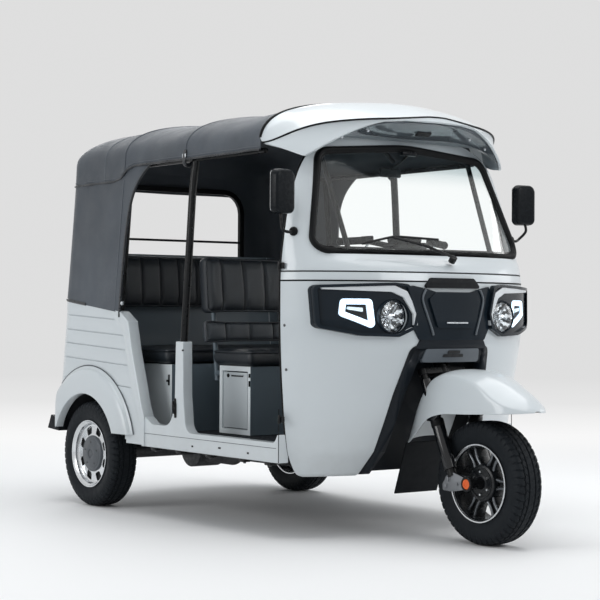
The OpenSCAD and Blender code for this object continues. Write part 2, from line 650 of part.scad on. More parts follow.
module tail_lid() {
    color(paint) {
        thick_sheet(
            [for (z = [lid_low, 585, lid_high]) [for (x = [-lid_half, lid_half]) [x, tail_y(z) - 1, z]]],
            [for (z = [lid_low, 585, lid_high]) [for (x = [-lid_half, lid_half]) [x, tail_y(z) - 18, z]]]);
        lid_hinges(0, pin_r + run_gap, 7);
        for (x = [-180, 180]) difference() {
            translate([x - 40, lid_axis[0] - 14, lid_axis[1] - 28]) cube([80, 18, 19]);
            translate([x - 41, lid_axis[0] + 1, lid_axis[1] - 40]) cube([82, 24, 24]);
        }
        for (x = [-180, 180]) difference() {
            translate([x - 40, lid_axis[0] - 4, lid_axis[1] - 12]) cube([80, 8, 8]);
            translate([x, lid_axis[0], lid_axis[1]]) rotate([0, 90, 0]) cylinder(h = 90, r = 5, center = true, $fn = 32);
        }
    }
}

module tail_lamps() {
    color("firebrick") both_sides() translate([-352, tail_y(690) + 1, 690]) rotate([-atan2(tail_y(760) - tail_y(620), 140), 0, 0])
        rotate([-90, 0, 0]) translate([-40, -70, 0]) linear_extrude(height = 20) square([80, 140]);
}

bumper_z = 372;
bumper_r = 17;
plate_z = 432;          // middle of the number plate's two bolts
plate_gap = 240;        // distance between them
bolt_r = 3.5;
tow_r = 12;             // radius of the tow eye's hole
tow_t = 14;
module rear_bumper() {
    y = rear_y + rear_over - bumper_r;
    color(black) difference() {
        union() {
            rod([-430, y, bumper_z], [430, y, bumper_z], bumper_r);
            for (x = [-rail_x, rail_x]) rod([x, y, bumper_z], [x, rail_end + 8, rail_low + 28], 12);
            // number plate bracket
            translate([-150, y - 4, bumper_z]) cube([300, 4, plate_z + 20 - bumper_z]);
            // tow eye
            translate([0, y - 2, bumper_z - bumper_r - 12]) cylinder(h = tow_t, r = 26, $fn = 48);
            translate([-14, y - 14, bumper_z - bumper_r - 12]) cube([28, 12, 30]);
        }
        for (x = [-plate_gap / 2, plate_gap / 2]) translate([x, y, plate_z]) rotate([90, 0, 0])
            cylinder(h = 30, r = bolt_r, center = true, $fn = 32);
        translate([0, y - 2, bumper_z - bumper_r - 13]) cylinder(h = tow_t + 2, r = tow_r, $fn = 48);
    }
}

// ---------------------------------------------------------------- floor and frame

module floor_pan() {
    a = half_w - wall - 1;
    z0 = floor_z - floor_t;
    color(plastic) difference() {
        union() {
            intersection() {
                skin_solid(cowl_low, 460, cowl_wall + 4);
                translate([-big, front_y, z0]) cube([2 * big, jamb_y + 1 - front_y, floor_t]);
            }
            translate([-a, jamb_y, z0]) cube([2 * a, rear_y - arch_r - 8 - jamb_y, floor_t]);
            translate([-housing_in + 8, rear_y - arch_r - 10, z0]) cube([2 * housing_in - 16, arch_r + 340, floor_t]);
        }
        front_plate(bay_outline(2), front_y - 100, bay_back + 1);
        head_braces(brace_r + 4);
    }
}

rail_x = 290;
rail_low = 292;
rail_h = floor_z - floor_t - 0.5 - rail_low;
rail_end = rear_y + 336;
brace_r = 15;
module head_braces(r) {
    both_sides() bent_tube([on_stem(head_high - 24) + [-22, 6, 0], [-150, bay_back + 28, head_high - 60],
        [-rail_x, bay_back + 28, head_high - 190], [-rail_x, bay_back + 28, rail_low + 40]], r, [0, 1, 0], 60);
}
module chassis_frame() {
    color(black) difference() {
        union() {
            for (x = [-rail_x, rail_x]) translate([x - 20, bay_back + 6, rail_low]) cube([40, rail_end - bay_back - 6, rail_h]);
            for (y = [bay_back + 6, bay_back + 420, rear_y - 440, rear_y + 250])
                translate([-rail_x - 80, y, rail_low + 5]) cube([2 * rail_x + 160, 45, rail_h - 10]);
            // steering head and the braces that carry it
            along_stem(head_low) cylinder(h = (head_high - head_low) / cos(rake), r = 33, $fn = 48);
            head_braces(brace_r);
        }
        along_stem(head_low - 25) cylinder(h = (head_high - head_low) / cos(rake) + 50, r = stem_r + run_gap, $fn = 48);
    }
}

// The battery pack in the bench, as one block
module battery_box() {
    color(black) round_box(-bench_half + 60, bench_half - 60, bench_front + 40, bench_front + 360,
        floor_z + 0.5, bench_top - 50, 20);
}

module dashboard() {
    color(plastic) difference() {
        intersection() {
            skin_solid(960, 1150, cowl_wall + 2);
            side_plate([[front_y + 230, 985], [front_y + 430, 985], [front_y + 470, 1060],
                [front_y + 440, 1128], [front_y + 230, 1138]], -half_w, half_w);
        }
        along_stem(900) cylinder(h = 400, r = 40, $fn = 48);
        both_sides() bent_tube([stay_path[0] - [0, 0, 30], stay_path[1]], stay_r + 8, [0, 1, 0], 0);
        side_plate([[front_y + 300, 970], [front_y + 405, 970], [front_y + 405, 1100], [front_y + 300, 1100]], -300, 300);
    }
}

// ---------------------------------------------------------------- seats

driver_front = post_y - 104;     // front face of the driver's seat box
driver_back = driver_front + driver_box_len;
box_t = 14;
box_z0 = floor_z + 9;
box_door_gap = 22;      // from the box's edges to its doorway
door_axis = [-driver_half + 6, driver_back - box_door_gap - 11];
module driver_seat_base() {
    color(paint) difference() {
        translate([-driver_half, driver_front, box_z0]) cube([2 * driver_half, driver_box_len, driver_box_top - box_z0]);
        translate([-driver_half + box_t, driver_front + box_t, box_z0 - 1])
            cube([2 * (driver_half - box_t), driver_box_len - 2 * box_t, driver_box_top - box_z0 - box_t + 1]);
        translate([-driver_half - 1, driver_front + box_door_gap, box_z0 + box_door_gap])
            cube([box_t + 2, driver_box_len - 2 * box_door_gap, driver_box_top - box_z0 - 2 * box_door_gap]);
        translate([door_axis[0], door_axis[1], box_z0 + 6])
            cylinder(h = driver_box_top - box_z0 - 12, r = pin_r + run_gap, $fn = 32);
    }
    // the frame that carries the backrest
    color(black) {
        translate([0, driver_back_y, driver_box_top]) rotate([-seat_lean, 0, 0]) {
            both_sides() rod([-driver_half + 70, 42, -70], [-driver_half + 70, 42, 400], 12);
            for (z = [150, 350]) rod([-driver_half + 70, 42, z], [driver_half - 70, 42, z], 10);
        }
        both_sides() rod([-driver_half + 70, driver_back + 2, driver_box_top - 40],
            [-driver_half + 70, driver_back_y + 44, driver_box_top - 40], 12);
    }
}
module driver_box_door() {
    z0 = box_z0 + box_door_gap + 6;
    h = driver_box_top - box_z0 - 2 * box_door_gap - 12;
    color(paint) {
        translate([door_axis[0] - 5, driver_front + box_door_gap + 6, z0])
            cube([10, door_axis[1] - driver_front - box_door_gap - 6, h]);
        translate([door_axis[0], door_axis[1], z0]) cylinder(h = h, r = 5, $fn = 32);
        translate([door_axis[0], door_axis[1], z0 - 14]) cylinder(h = h + 28, r = pin_r, $fn = 32);
    }
}

// A plain cushion with edges rounded to radius r
module pad(x0, x1, y0, y1, z0, z1, r) {
    function ring(z, d) = [for (q = [[x1, y1, 0], [x0, y1, 90], [x0, y0, 180], [x1, y0, 270]]) for (t = [0 : 22.5 : 90])
        let (w = q[2] + t, cx = q[0] == x1 ? x1 - r : x0 + r, cy = q[1] == y1 ? y1 - r : y0 + r)
        [cx + (r - d) * cos(w), cy + (r - d) * sin(w), z]];
    loft(concat([for (t = [75 : -25 : 0]) ring(z0 + r - r * sin(t), r - r * cos(t))],
        [for (t = [0 : 25 : 75]) ring(z1 - r + r * sin(t), r - r * cos(t))]));
}

module driver_seat_cushion() {
    color(black) pad(-driver_half - 40, driver_half + 40, driver_front - 36, driver_back + 46,
        driver_box_top + 1, driver_box_top + 1 + cushion_t, 24);
}

seat_lean = 6;
driver_back_y = driver_back + 88;
lumbar = [96, 192];           // heights of the lumbar pad over the box
upper_rest = [228, 506];      // heights of the upper backrest over the box
module driver_backrest() {
    color(black) translate([0, driver_back_y, driver_box_top]) rotate([-seat_lean, 0, 0]) {
        pad(-driver_half - 34, driver_half + 34, -30, 18, lumbar[0], lumbar[1], 20);
        pad(-driver_half - 42, driver_half + 42, -62, 28, upper_rest[0], upper_rest[1], 26);
    }
}

bench_half = rear_track / 2 - tyre_w / 2 - 42;
bench_front = rear_y - 462;
bench_back = bench_front + bench_len;
bench_lean = 5;
module bench_base() {
    z0 = floor_z + 0.5;
    color(paint) {
        difference() {
            translate([-bench_half, bench_front, z0]) cube([2 * bench_half, bench_len, bench_top - z0]);
            translate([-bench_half + box_t, bench_front + box_t, z0 - 1])
                cube([2 * (bench_half - box_t), bench_len - 2 * box_t, bench_top - z0 - box_t]);
        }
        // the leaning board behind the backrest
        translate([0, bench_back + 8, waist_z + 4]) rotate([-bench_lean, 0, 0])
            translate([-bench_half - 56, -15.4, bench_top - waist_z - 20]) cube([2 * bench_half + 112, 12, waist_z - bench_top + 310]);
    }
}
module bench_cushion() {
    color(black) pad(-bench_half - 50, bench_half + 50, bench_front - 26, bench_back - 36,
        bench_top + 1, bench_top + 1 + cushion_t, 26);
}
module bench_backrest() {
    color(black) translate([0, bench_back + 8, waist_z + 4]) rotate([-bench_lean, 0, 0])
        pad(-bench_half - 50, bench_half + 50, -88, -16, 4, 288, 30);
}

// ---------------------------------------------------------------- small pieces

module mirrors() {
    foot = nose(1262, -74, -8);
    color(black) both_sides() {
        translate([-half_w - 22, front_y + 496, 1329]) rotate([0, 0, -8])
            hull() for (x = [-33, 33]) for (z = [24, 162]) translate([x, 0, z]) rotate([90, 0, 0])
                cylinder(h = 42, r = 24, center = true, $fn = 32);
        bent_tube([foot, foot + [-14, -6, -3], [-half_w - 14, front_y + 486, 1310], [-half_w - 16, front_y + 492, 1340]],
            7, [0, 1, 0], 14);
    }
}

wiper_pivot = [20, front_y + 252, 1146];
module wiper() {
    color(black) {
        translate(wiper_pivot) rotate([40, 0, 0]) cylinder(h = 26, r = 15, $fn = 32);
        bent_tube([wiper_pivot + [6, -12, 18], wiper_pivot + [-150, 2, 66], wiper_pivot + [-290, 36, 96]], 6, [0, 0, 1], 30);
        bent_tube([wiper_pivot + [-430, 60, 66], wiper_pivot + [-280, 36, 100], wiper_pivot + [-60, 16, 92]], 5, [0, 0, 1], 30);
    }
}

// ---------------------------------------------------------------- running gear

hub_half = 46;
module tyre() {
    r0 = rim_d / 2;
    r1 = tyre_d / 2;
    w = tyre_w / 2;
    color(black) rotate([0, 90, 0]) rotate_extrude($fn = 96) polygon([
        [r0, -w + 14], [r0 + 18, -w + 5], [r0 + 44, -w], [r1 - 30, -w + 3], [r1 - 8, -w + 16], [r1, -w + 40],
        [r1, w - 40], [r1 - 8, w - 16], [r1 - 30, w - 3], [r0 + 44, w], [r0 + 18, w - 5], [r0, w - 14]]);
}
// A disc wheel with round windows, its outer face towards +X
module rim(windows) {
    r0 = rim_d / 2 - 0.3;
    w = tyre_w / 2;
    color("silver") rotate([0, 90, 0]) difference() {
        rotate_extrude($fn = 96) polygon([
            [bearing_r + run_gap, -hub_half], [48, -hub_half], [48, 14], [r0 - 30, 22], [r0 - 14, -w + 20],
            [r0, -w + 14], [r0, w - 14], [r0 - 14, w - 20], [r0 - 26, 34], [58, 26], [50, hub_half],
            [bearing_r + run_gap, hub_half]]);
        for (i = [0 : windows - 1]) rotate(i * 360 / windows) translate([r0 - 56, 0, -20])
            cylinder(h = 80, r = 20, $fn = 32);
    }
}

module rear_axle() {
    x = rear_track / 2 - tyre_w / 2 - 14;
    color(steel) translate([0, rear_y, axle_z]) {
        rotate([0, 90, 0]) cylinder(h = 2 * x, r = 32, center = true, $fn = 48);
        rotate([0, 90, 0]) cylinder(h = 2 * (rear_track / 2 + 20), r = bearing_r, center = true, $fn = 48);
        rotate([0, 90, 0]) cylinder(h = 150, r = 92, center = true, $fn = 64);
        translate([0, -150, 10]) rotate([90, 0, 0]) cylinder(h = 230, r = 78, center = true, $fn = 64);
        both_sides() translate([-x - 10, 0, 0]) rotate([0, 90, 0]) cylinder(h = 34, r = 96, center = true, $fn = 64);
    }
}

spring_x = rail_x + 60;
module rear_springs() {
    top = rail_low + 4.5;
    low = axle_z + 32.5;
    color(black) both_sides() {
        translate([-spring_x - 25, rear_y - 436, low]) cube([50, 726, top - low]);
        translate([-spring_x - 25, rear_y - 60, low - 6]) difference() {
            cube([50, 120, 10]);
            translate([-1, 60 - 33, -30]) cube([52, 66, 36.5]);
        }
    }
}

// ---------------------------------------------------------------- steered pieces

crown_z = 690;
leg_low = 274;
leg_back = 7;           // how far the fork's legs stand behind the steering axis
axle_pin_r = 14;
function leg_at(z) = on_stem(z) + [0, leg_back, 0];
module fork_legs(grow) {
    both_sides() {
        rod(leg_at(crown_z) + [-fork_half, 0, 0], leg_at(460) + [-fork_half, 0, 0], 15 + grow);
        rod(leg_at(480) + [-fork_half, 0, 0], leg_at(leg_low) + [-fork_half, 0, 0], 19 + grow);
    }
}
module front_fork() {
    color(black) {
        along_stem(crown_z) difference() {
            translate([0, 0, -13]) linear_extrude(height = 26) {
                circle(r = 31, $fn = 48);
                for (x = [-fork_half, fork_half]) {
                    translate([x, leg_back]) circle(r = 22, $fn = 48);
                    polygon([[0, -24], [x, leg_back - 20], [x, leg_back + 20], [0, 24]]);
                }
            }
            cylinder(h = 60, r = stem_r, center = true, $fn = 48);
        }
        fork_legs(0);
        // the short link from each leg's foot to the axle
        both_sides() side_plate([[front_y + 150, 214], [front_y + 152, 240], [front_y + 112, 292], [front_y + 82, 288],
            [front_y + 20, axle_z + 22], [front_y - 22, axle_z + 8], [front_y - 20, axle_z - 16],
            [front_y + 20, axle_z - 24], [front_y + 90, 212]], -fork_half - 7, -fork_half + 7);
        translate([0, front_y, axle_z]) rotate([0, 90, 0]) cylinder(h = 2 * fork_half + 30, r = bearing_r, center = true, $fn = 48);
    }
}

module handlebar() {
    top = on_stem(bar_z);
    color(black) {
        along_stem(crown_z - 12) cylinder(h = (bar_z - crown_z + 12) / cos(rake), r = stem_r, $fn = 48);
        bent_tube([[-bar_half, top[1] + 96, bar_z + 16], [-bar_half + 110, top[1] + 54, bar_z + 24],
            [-90, top[1], bar_z], [90, top[1], bar_z], [bar_half - 110, top[1] + 54, bar_z + 24],
            [bar_half, top[1] + 96, bar_z + 16]], 12, [0, 0, 1], 30);
        translate(top + [-75, -34, -28]) cube([150, 74, 46]);
    }
}

// Distance behind the front axle, height of the crown, of the crease and of the lower edge, half width
fender_rows = [
    [-275, 553, 550, 544, 16], [-262, 566, 553, 543, 52], [-235, 589, 560, 541, 86], [-205, 609, 568, 540, 108],
    [-172, 628, 580, 538, 120], [-120, 655, 606, 535, 126], [-60, 680, 646, 532, 130], [0, 697, 668, 529, 132],
    [60, 703, 680, 527, 133], [125, 704, 682, 524, 133], [175, 698, 674, 516, 133], [215, 684, 656, 504, 133],
    [250, 656, 624, 484, 132], [285, 610, 576, 452, 130], [315, 552, 520, 424, 127], [345, 480, 452, 404, 122],
    [366, 420, 408, 394, 116]];
fender_t = 7;
function fender_row(k, d) = let (row = fender_rows[k], y = front_y + row[0], w = row[4] - min(d, row[4] / 2),
        zt = row[1] - d, zc = row[2] - d, zl = row[3])
    [[-w, y, zl], [-w, y, mix(zl, zc, 0.6)], [-w * 0.93, y, zc], [-w * 0.72, y, mix(zc, zt, 0.5)],
        [-w * 0.4, y, mix(zc, zt, 0.86)], [0, y, zt], [w * 0.4, y, mix(zc, zt, 0.86)],
        [w * 0.72, y, mix(zc, zt, 0.5)], [w * 0.93, y, zc], [w, y, mix(zl, zc, 0.6)], [w, y, zl]];
module front_fender() {
    last = len(fender_rows) - 1;
    color(paint) difference() {
        thick_sheet([for (k = [0 : last]) fender_row(k, 0)],
            [for (k = [0 : last]) fender_row(k, min(fender_t, 2 + k * 3))]);
        fork_legs(1);
    }
}

module front_mudflap() {
    color(black) side_plate([[front_y + 370, 392], [front_y + 446, 172], [front_y + 451, 174],
        [front_y + 375, 394]], -118, 118);
}

// ---------------------------------------------------------------- the assembly

module rear_wheel_at(side) {
    translate([side * rear_track / 2, rear_y, axle_z]) rotate([0, 0, side > 0 ? 0 : 180]) children();
}

chassis_frame();
floor_pan();
battery_box();
front_cowl();
headlamp_mask();
headlamps();
front_lamp_lenses();
wheel_bay_surround();
windshield_seal();
windshield_glass();
roof_cap();
sun_visor();
wiper();
dashboard();
side_sills();
rear_quarter_panels();
rear_fenders();
wheel_housings();
tail_panel();
tail_lid();
tail_lamps();
rear_bumper();
canopy_frame();
canopy_canvas();
rear_window_frame();
driver_seat_base();
driver_box_door();
driver_seat_cushion();
driver_backrest();
bench_base();
bench_cushion();
bench_backrest();
mirrors();
rear_axle();
rear_springs();
handlebar();
front_fork();
front_fender();
front_mudflap();
translate([0, front_y, axle_z]) tyre();  // front_tyre
translate([0, front_y, axle_z]) rim(6);  // front_rim
rear_wheel_at(-1) tyre();  // rear_tyre_right
rear_wheel_at(-1) rim(8);  // rear_rim_right
rear_wheel_at(1) tyre();  // rear_tyre_left
rear_wheel_at(1) rim(8);  // rear_rim_left
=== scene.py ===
import bpy
from math import acos, atan2, cos, degrees, pi, radians, sin, sqrt, tan
from mathutils import Matrix, Vector, noise
from mathutils.kdtree import KDTree


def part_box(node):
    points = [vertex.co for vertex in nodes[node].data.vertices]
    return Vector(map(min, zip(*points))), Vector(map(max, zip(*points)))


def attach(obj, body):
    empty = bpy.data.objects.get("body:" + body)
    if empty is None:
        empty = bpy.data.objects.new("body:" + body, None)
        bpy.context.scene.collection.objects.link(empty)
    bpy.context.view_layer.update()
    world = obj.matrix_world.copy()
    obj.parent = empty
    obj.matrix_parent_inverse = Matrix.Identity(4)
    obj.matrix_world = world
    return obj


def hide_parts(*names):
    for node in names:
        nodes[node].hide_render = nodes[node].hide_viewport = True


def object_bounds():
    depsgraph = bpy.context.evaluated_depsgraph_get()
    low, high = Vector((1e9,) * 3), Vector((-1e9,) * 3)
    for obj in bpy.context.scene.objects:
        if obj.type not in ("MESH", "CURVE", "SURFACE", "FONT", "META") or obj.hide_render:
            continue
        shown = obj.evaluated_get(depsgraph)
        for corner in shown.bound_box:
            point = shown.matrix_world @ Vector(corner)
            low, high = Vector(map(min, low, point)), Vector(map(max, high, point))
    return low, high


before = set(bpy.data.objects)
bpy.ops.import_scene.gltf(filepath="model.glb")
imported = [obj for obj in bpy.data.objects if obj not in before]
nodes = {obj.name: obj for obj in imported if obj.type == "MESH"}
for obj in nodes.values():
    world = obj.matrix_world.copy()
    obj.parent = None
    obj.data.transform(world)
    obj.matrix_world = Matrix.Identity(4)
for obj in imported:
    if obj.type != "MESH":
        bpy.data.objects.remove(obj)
cad_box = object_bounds()
bpy.context.scene.view_settings.view_transform = "Standard"

# ------------------------------------------------------------------ finishes


class Field:
    """A shader socket that takes part in sums."""

    def __init__(self, finish, socket):
        self.finish, self.socket = finish, socket

    def __add__(self, other):
        return self.finish.math("ADD", self, other)

    def __sub__(self, other):
        return self.finish.math("SUBTRACT", self, other)

    def __rsub__(self, other):
        return self.finish.math("SUBTRACT", other, self)

    def __mul__(self, other):
        return self.finish.math("MULTIPLY", self, other)

    def __truediv__(self, other):
        return self.finish.math("DIVIDE", self, other)

    def __pow__(self, other):
        return self.finish.math("POWER", self, other)

    def __gt__(self, other):
        return self.finish.math("GREATER_THAN", self, other)

    __radd__ = __add__
    __rmul__ = __mul__


class Finish:
    """One material: a Principled shader and the nodes that feed it."""

    def __init__(self, name, **fixed):
        self.material = bpy.data.materials.new(name)
        self.material.use_nodes = True
        self.tree = self.material.node_tree
        self.tree.nodes.clear()
        self.output = self.tree.nodes.new("ShaderNodeOutputMaterial")
        self.shader = self.tree.nodes.new("ShaderNodeBsdfPrincipled")
        self.tree.links.new(self.shader.outputs[0], self.output.inputs["Surface"])
        for socket, value in fixed.items():
            self.shader.inputs[socket.replace("_", " ")].default_value = value

    def add(self, kind, settings=None, inputs=None, out=0):
        node = self.tree.nodes.new("ShaderNode" + kind)
        for key, value in (settings or {}).items():
            if key == "stops":
                for k, (place, colour) in enumerate(value):
                    stop = node.color_ramp.elements[k] if k < 2 else node.color_ramp.elements.new(place)
                    stop.position, stop.color = place, (*colour, 1)
            else:
                setattr(node, key, value)
        for key, value in (inputs or {}).items():
            self.put(node.inputs[key], value)
        return Field(self, node.outputs[out])

    def put(self, socket, value):
        if isinstance(value, Field):
            self.tree.links.new(value.socket, socket)
        elif socket.type == "RGBA" and len(value) == 3:
            socket.default_value = (*value, 1)
        else:
            socket.default_value = value

    def math(self, operation, *values):
        return self.add("Math", {"operation": operation}, dict(enumerate(values)))

    def place(self):
        return self.add("TexCoord", out="Object")

    def axes(self):
        node = self.add("SeparateXYZ", inputs={0: self.place()}).socket.node
        return [Field(self, node.outputs[k]) for k in range(3)]

    def cloud(self, scale, detail=3, rough=0.5, where=None):
        return self.add("TexNoise", inputs={"Vector": where or self.place(), "Scale": scale,
                                            "Detail": detail, "Roughness": rough})

    def cells(self, scale, feature="DISTANCE_TO_EDGE", where=None):
        return self.add("TexVoronoi", {"feature": feature}, {"Vector": where or self.place(), "Scale": scale})

    def step(self, value, low, high, to_low=0.0, to_high=1.0):
        return self.add("MapRange", {"interpolation_type": "SMOOTHSTEP"},
                        {"Value": value, 1: low, 2: high, 3: to_low, 4: to_high})

    def blend(self, share, first, second):
        return self.add("Mix", {"data_type": "RGBA"}, {0: share, 6: first, 7: second}, out=2)

    def stretched(self, x, y, z):
        return self.add("Mapping", inputs={"Vector": self.place(), "Scale": (x, y, z)})

    def feed(self, **links):
        for socket, value in links.items():
            self.put(self.shader.inputs[socket.replace("_", " ")], value)

    def bump(self, height, strength, distance, under=None):
        made = self.add("Bump", inputs={"Height": height, "Strength": strength, "Distance": distance})
        if under:
            self.put(made.socket.node.inputs["Normal"], under)
        return made


def mottled(name, light, dark, scale=3.0, rough=(0.4, 0.5), grain=0, grain_depth=0.0004, **fixed):
    """A plain finish with a slow drift of tone, a change of gloss, and a fine surface grain."""
    f = Finish(name, **fixed)
    drift = f.cloud(scale, 4)
    f.feed(Base_Color=f.blend(drift, dark, light), Roughness=f.step(f.cloud(scale * 7, 3), 0.3, 0.7, *rough))
    if grain:
        f.feed(Normal=f.bump(f.cloud(grain, 2), 0.5, grain_depth))
    return f.material


def body_paint(name, light, dark):
    """Gloss enamel with faint orange peel and road dust low down."""
    f = Finish(name, Coat_Weight=0.55, Coat_Roughness=0.06, IOR=1.5)
    z = f.axes()[2]
    dust = f.step(z + 0.12 * f.cloud(5, 4), 0.30, 0.66, 0.30, 0) * f.cloud(14, 5, 0.65)
    tone = f.blend(f.cloud(1.3, 2), dark, light)
    f.feed(Base_Color=f.blend(dust, tone, (0.30, 0.29, 0.27)),
           Roughness=0.30 + 0.9 * dust + 0.06 * f.cloud(9, 3),
           Normal=f.bump(f.cloud(260, 2), 0.06, 0.0006))
    return f.material


def rubbery(name, light, dark, rough=(0.55, 0.75), grain=220):
    return mottled(name, light, dark, 6, rough, grain, 0.00025, Specular_IOR_Level=0.12)


def woven(name, light, dark):
    """Coated canvas: a plain weave, slack ripples, and a faded bloom."""
    f = Finish(name, Sheen_Weight=0.12, Sheen_Roughness=0.5, IOR=1.45)
    x, y, z = f.axes()
    warp = f.math("SINE", (x + y) * 3400)
    weft = f.math("SINE", (z + 0.5 * y) * 3400)
    ripple = f.cloud(1, 3, 0.5, f.stretched(3.5, 3.5, 1.1))
    bloom = f.cloud(2.2, 5, 0.6)
    f.feed(Base_Color=f.blend(f.step(bloom, 0.35, 0.7), dark, light),
           Roughness=f.step(f.cloud(11, 4), 0.3, 0.7, 0.46, 0.6),
           Normal=f.bump(warp * weft, 0.22, 0.0004, f.bump(ripple, 0.5, 0.012)))
    return f.material


def hide(name, light, dark):
    """Upholstery leathercloth with a pebbled grain and soft creases."""
    f = Finish(name, Coat_Weight=0.12, Coat_Roughness=0.3, IOR=1.5)
    pebble = f.step(f.cells(420), 0.0, 0.25)
    crease = f.cloud(16, 5, 0.62)
    wear = f.cloud(4, 4)
    f.feed(Base_Color=f.blend(wear * (0.6 + 0.4 * pebble), dark, light),
           Roughness=0.36 + 0.16 * wear + 0.05 * crease,
           Normal=f.bump(pebble, 0.45, 0.0005, f.bump(crease, 0.3, 0.003)))
    return f.material


def turned_metal(name, light, dark, rough, y0, z0, rings=900.0):
    """Machined metal with fine turned rings round the wheel's axle."""
    f = Finish(name, Metallic=1.0)
    y, z = f.axes()[1:]
    away = f.math("SQRT", (y - y0) ** 2 + (z - z0) ** 2)
    lines = f.math("SINE", away * rings)
    f.feed(Base_Color=f.blend(f.cloud(25, 4), dark, light),
           Roughness=rough + 0.05 * lines + 0.10 * f.cloud(60, 3),
           Normal=f.bump(lines, 0.12, 0.0004))
    return f.material


def clear(name, tint, rough=0.0, shade_low=9.0, shade_high=10.0, shade=(0.2, 0.3, 0.33), dirt=0.03):
    """Glass or a lens, with a band of shade that begins between two heights."""
    f = Finish(name, IOR=1.45, Transmission_Weight=1.0)
    band = f.step(f.axes()[2], shade_low, shade_high)
    f.feed(Base_Color=f.blend(band, tint, shade), Roughness=rough + dirt * f.cloud(20, 4) ** 3)
    return f.material


def glowing(name, colour, strength):
    f = Finish(name, Base_Color=(0.9, 0.95, 1, 1), Roughness=0.3, Emission_Strength=strength)
    f.feed(Emission_Color=f.blend(f.step(f.cloud(60, 2), 0.3, 0.7, 0, 0.35), colour, (0.97, 0.99, 1)))
    return f.material


white = body_paint("white_enamel", (0.60, 0.645, 0.67), (0.555, 0.60, 0.625))
canvas = woven("coated_canvas", (0.056, 0.068, 0.084), (0.038, 0.047, 0.059))
leather = hide("leathercloth", (0.013, 0.0195, 0.0270), (0.006, 0.009, 0.013))
grey_leather = hide("grey_leathercloth", (0.045, 0.056, 0.068), (0.026, 0.033, 0.041))
gloss_plastic = mottled("charcoal_gloss_plastic", (0.010, 0.0165, 0.0240), (0.0065, 0.011, 0.016), 4,
                        (0.16, 0.26), 0, Specular_IOR_Level=0.18, Coat_Weight=0.06, Coat_Roughness=0.05)
grey_plastic = mottled("slate_plastic", (0.105, 0.122, 0.140), (0.078, 0.092, 0.108), 5, (0.35, 0.5), 500,
                       0.0003)
grain_plastic = mottled("grained_plastic", (0.009, 0.0105, 0.0125), (0.005, 0.006, 0.0075), 5, (0.5, 0.68),
                        650, 0.0003, Specular_IOR_Level=0.15)
black_enamel = mottled("black_enamel", (0.0075, 0.0080, 0.0090), (0.0045, 0.0050, 0.0055), 6, (0.26, 0.36), 0,
                       Specular_IOR_Level=0.2, Coat_Weight=0.06, Coat_Roughness=0.12)
seal_rubber = rubbery("seal_rubber", (0.0055, 0.006, 0.007), (0.0035, 0.004, 0.0045), (0.4, 0.5), 0)
mat_rubber = rubbery("mat_rubber", (0.020, 0.023, 0.027), (0.012, 0.014, 0.017))
flap_rubber = rubbery("flap_rubber", (0.0095, 0.0115, 0.0140), (0.0065, 0.0080, 0.0100), (0.45, 0.6), 0)
cast_metal = mottled("cast_metal", (0.16, 0.165, 0.17), (0.07, 0.072, 0.075), 12, (0.5, 0.75), 160, 0.002,
                     Metallic=0.6)
silver = mottled("satin_silver", (0.62, 0.65, 0.68), (0.50, 0.53, 0.56), 9, (0.2, 0.32), 300, 0.0002,
                 Metallic=0.75)
chrome = mottled("bright_chrome", (0.92, 0.94, 0.96), (0.80, 0.82, 0.85), 20, (0.03, 0.08), 0, Metallic=1.0)
# Near-black: painted shade for slots, holes and recesses drawn as dark patches, and the real black of the
# dial faces and lamp floor.
dark_cavity = mottled("dark_cavity", (0.010, 0.011, 0.013), (0.005, 0.006, 0.007), 8, (0.6, 0.8), 300)
thread = mottled("grey_thread", (0.16, 0.18, 0.20), (0.09, 0.10, 0.115), 200, (0.6, 0.8), 2500, 0.0003)
red = clear("red_lens", (0.75, 0.02, 0.015), 0.10)
orange_cap = mottled("orange_enamel", (0.90, 0.16, 0.02), (0.65, 0.09, 0.01), 60, (0.3, 0.45), 400)
lens = clear("clear_lens", (0.97, 0.99, 1.0), 0.0)
windshield = clear("windshield_glass", (0.95, 0.985, 0.98), 0.0, 1.46, 1.60, (0.50, 0.60, 0.62), 0.02)
smoked = mottled("smoked_acrylic", (0.115, 0.135, 0.150), (0.085, 0.100, 0.115), 3, (0.06, 0.14),
                 Coat_Weight=0.4, Coat_Roughness=0.04)
black_vinyl = mottled("black_vinyl", (0.020, 0.023, 0.027), (0.011, 0.013, 0.016), 12, (0.26, 0.38), 900,
                      0.0003)
leather_piping = mottled("vinyl_piping", (0.030, 0.036, 0.044), (0.015, 0.019, 0.024), 30, (0.3, 0.42),
                         1200, 0.0003)
wheel_black = mottled("wheel_black_enamel", (0.0125, 0.0145, 0.0170), (0.0075, 0.0090, 0.0105), 6,
                      (0.24, 0.34), 0, Specular_IOR_Level=0.28, Coat_Weight=0.1, Coat_Roughness=0.1)
cap_grey = mottled("wheel_cap_grey", (0.080, 0.090, 0.102), (0.060, 0.068, 0.078), 8, (0.34, 0.46), 600,
                   0.0003)
link_metal = mottled("link_plate_grey", (0.26, 0.27, 0.29), (0.18, 0.19, 0.20), 16, (0.35, 0.48), 250,
                     0.0004, Metallic=0.7)
tyre_rubber = rubbery("tyre_rubber", (0.0135, 0.0165, 0.0200), (0.0085, 0.0105, 0.0130), (0.5, 0.62), 0)
bay_plastic = mottled("bay_plastic", (0.0095, 0.0135, 0.0190), (0.006, 0.0085, 0.0120), 4, (0.30, 0.42), 0,
                      Specular_IOR_Level=0.18)
# Grey for the linings under the brow and inside the quarter opening; under the brow it stands for the body
# white in shadow, as painted shade.
brow_grey = mottled("brow_grey", (0.20, 0.235, 0.255), (0.15, 0.18, 0.20), 4, (0.3, 0.42), 300, 0.0002)
mirror_black = mottled("mirror_black_plastic", (0.0085, 0.0105, 0.0130), (0.005, 0.0065, 0.008), 9,
                       (0.22, 0.32), 0, Specular_IOR_Level=0.12)
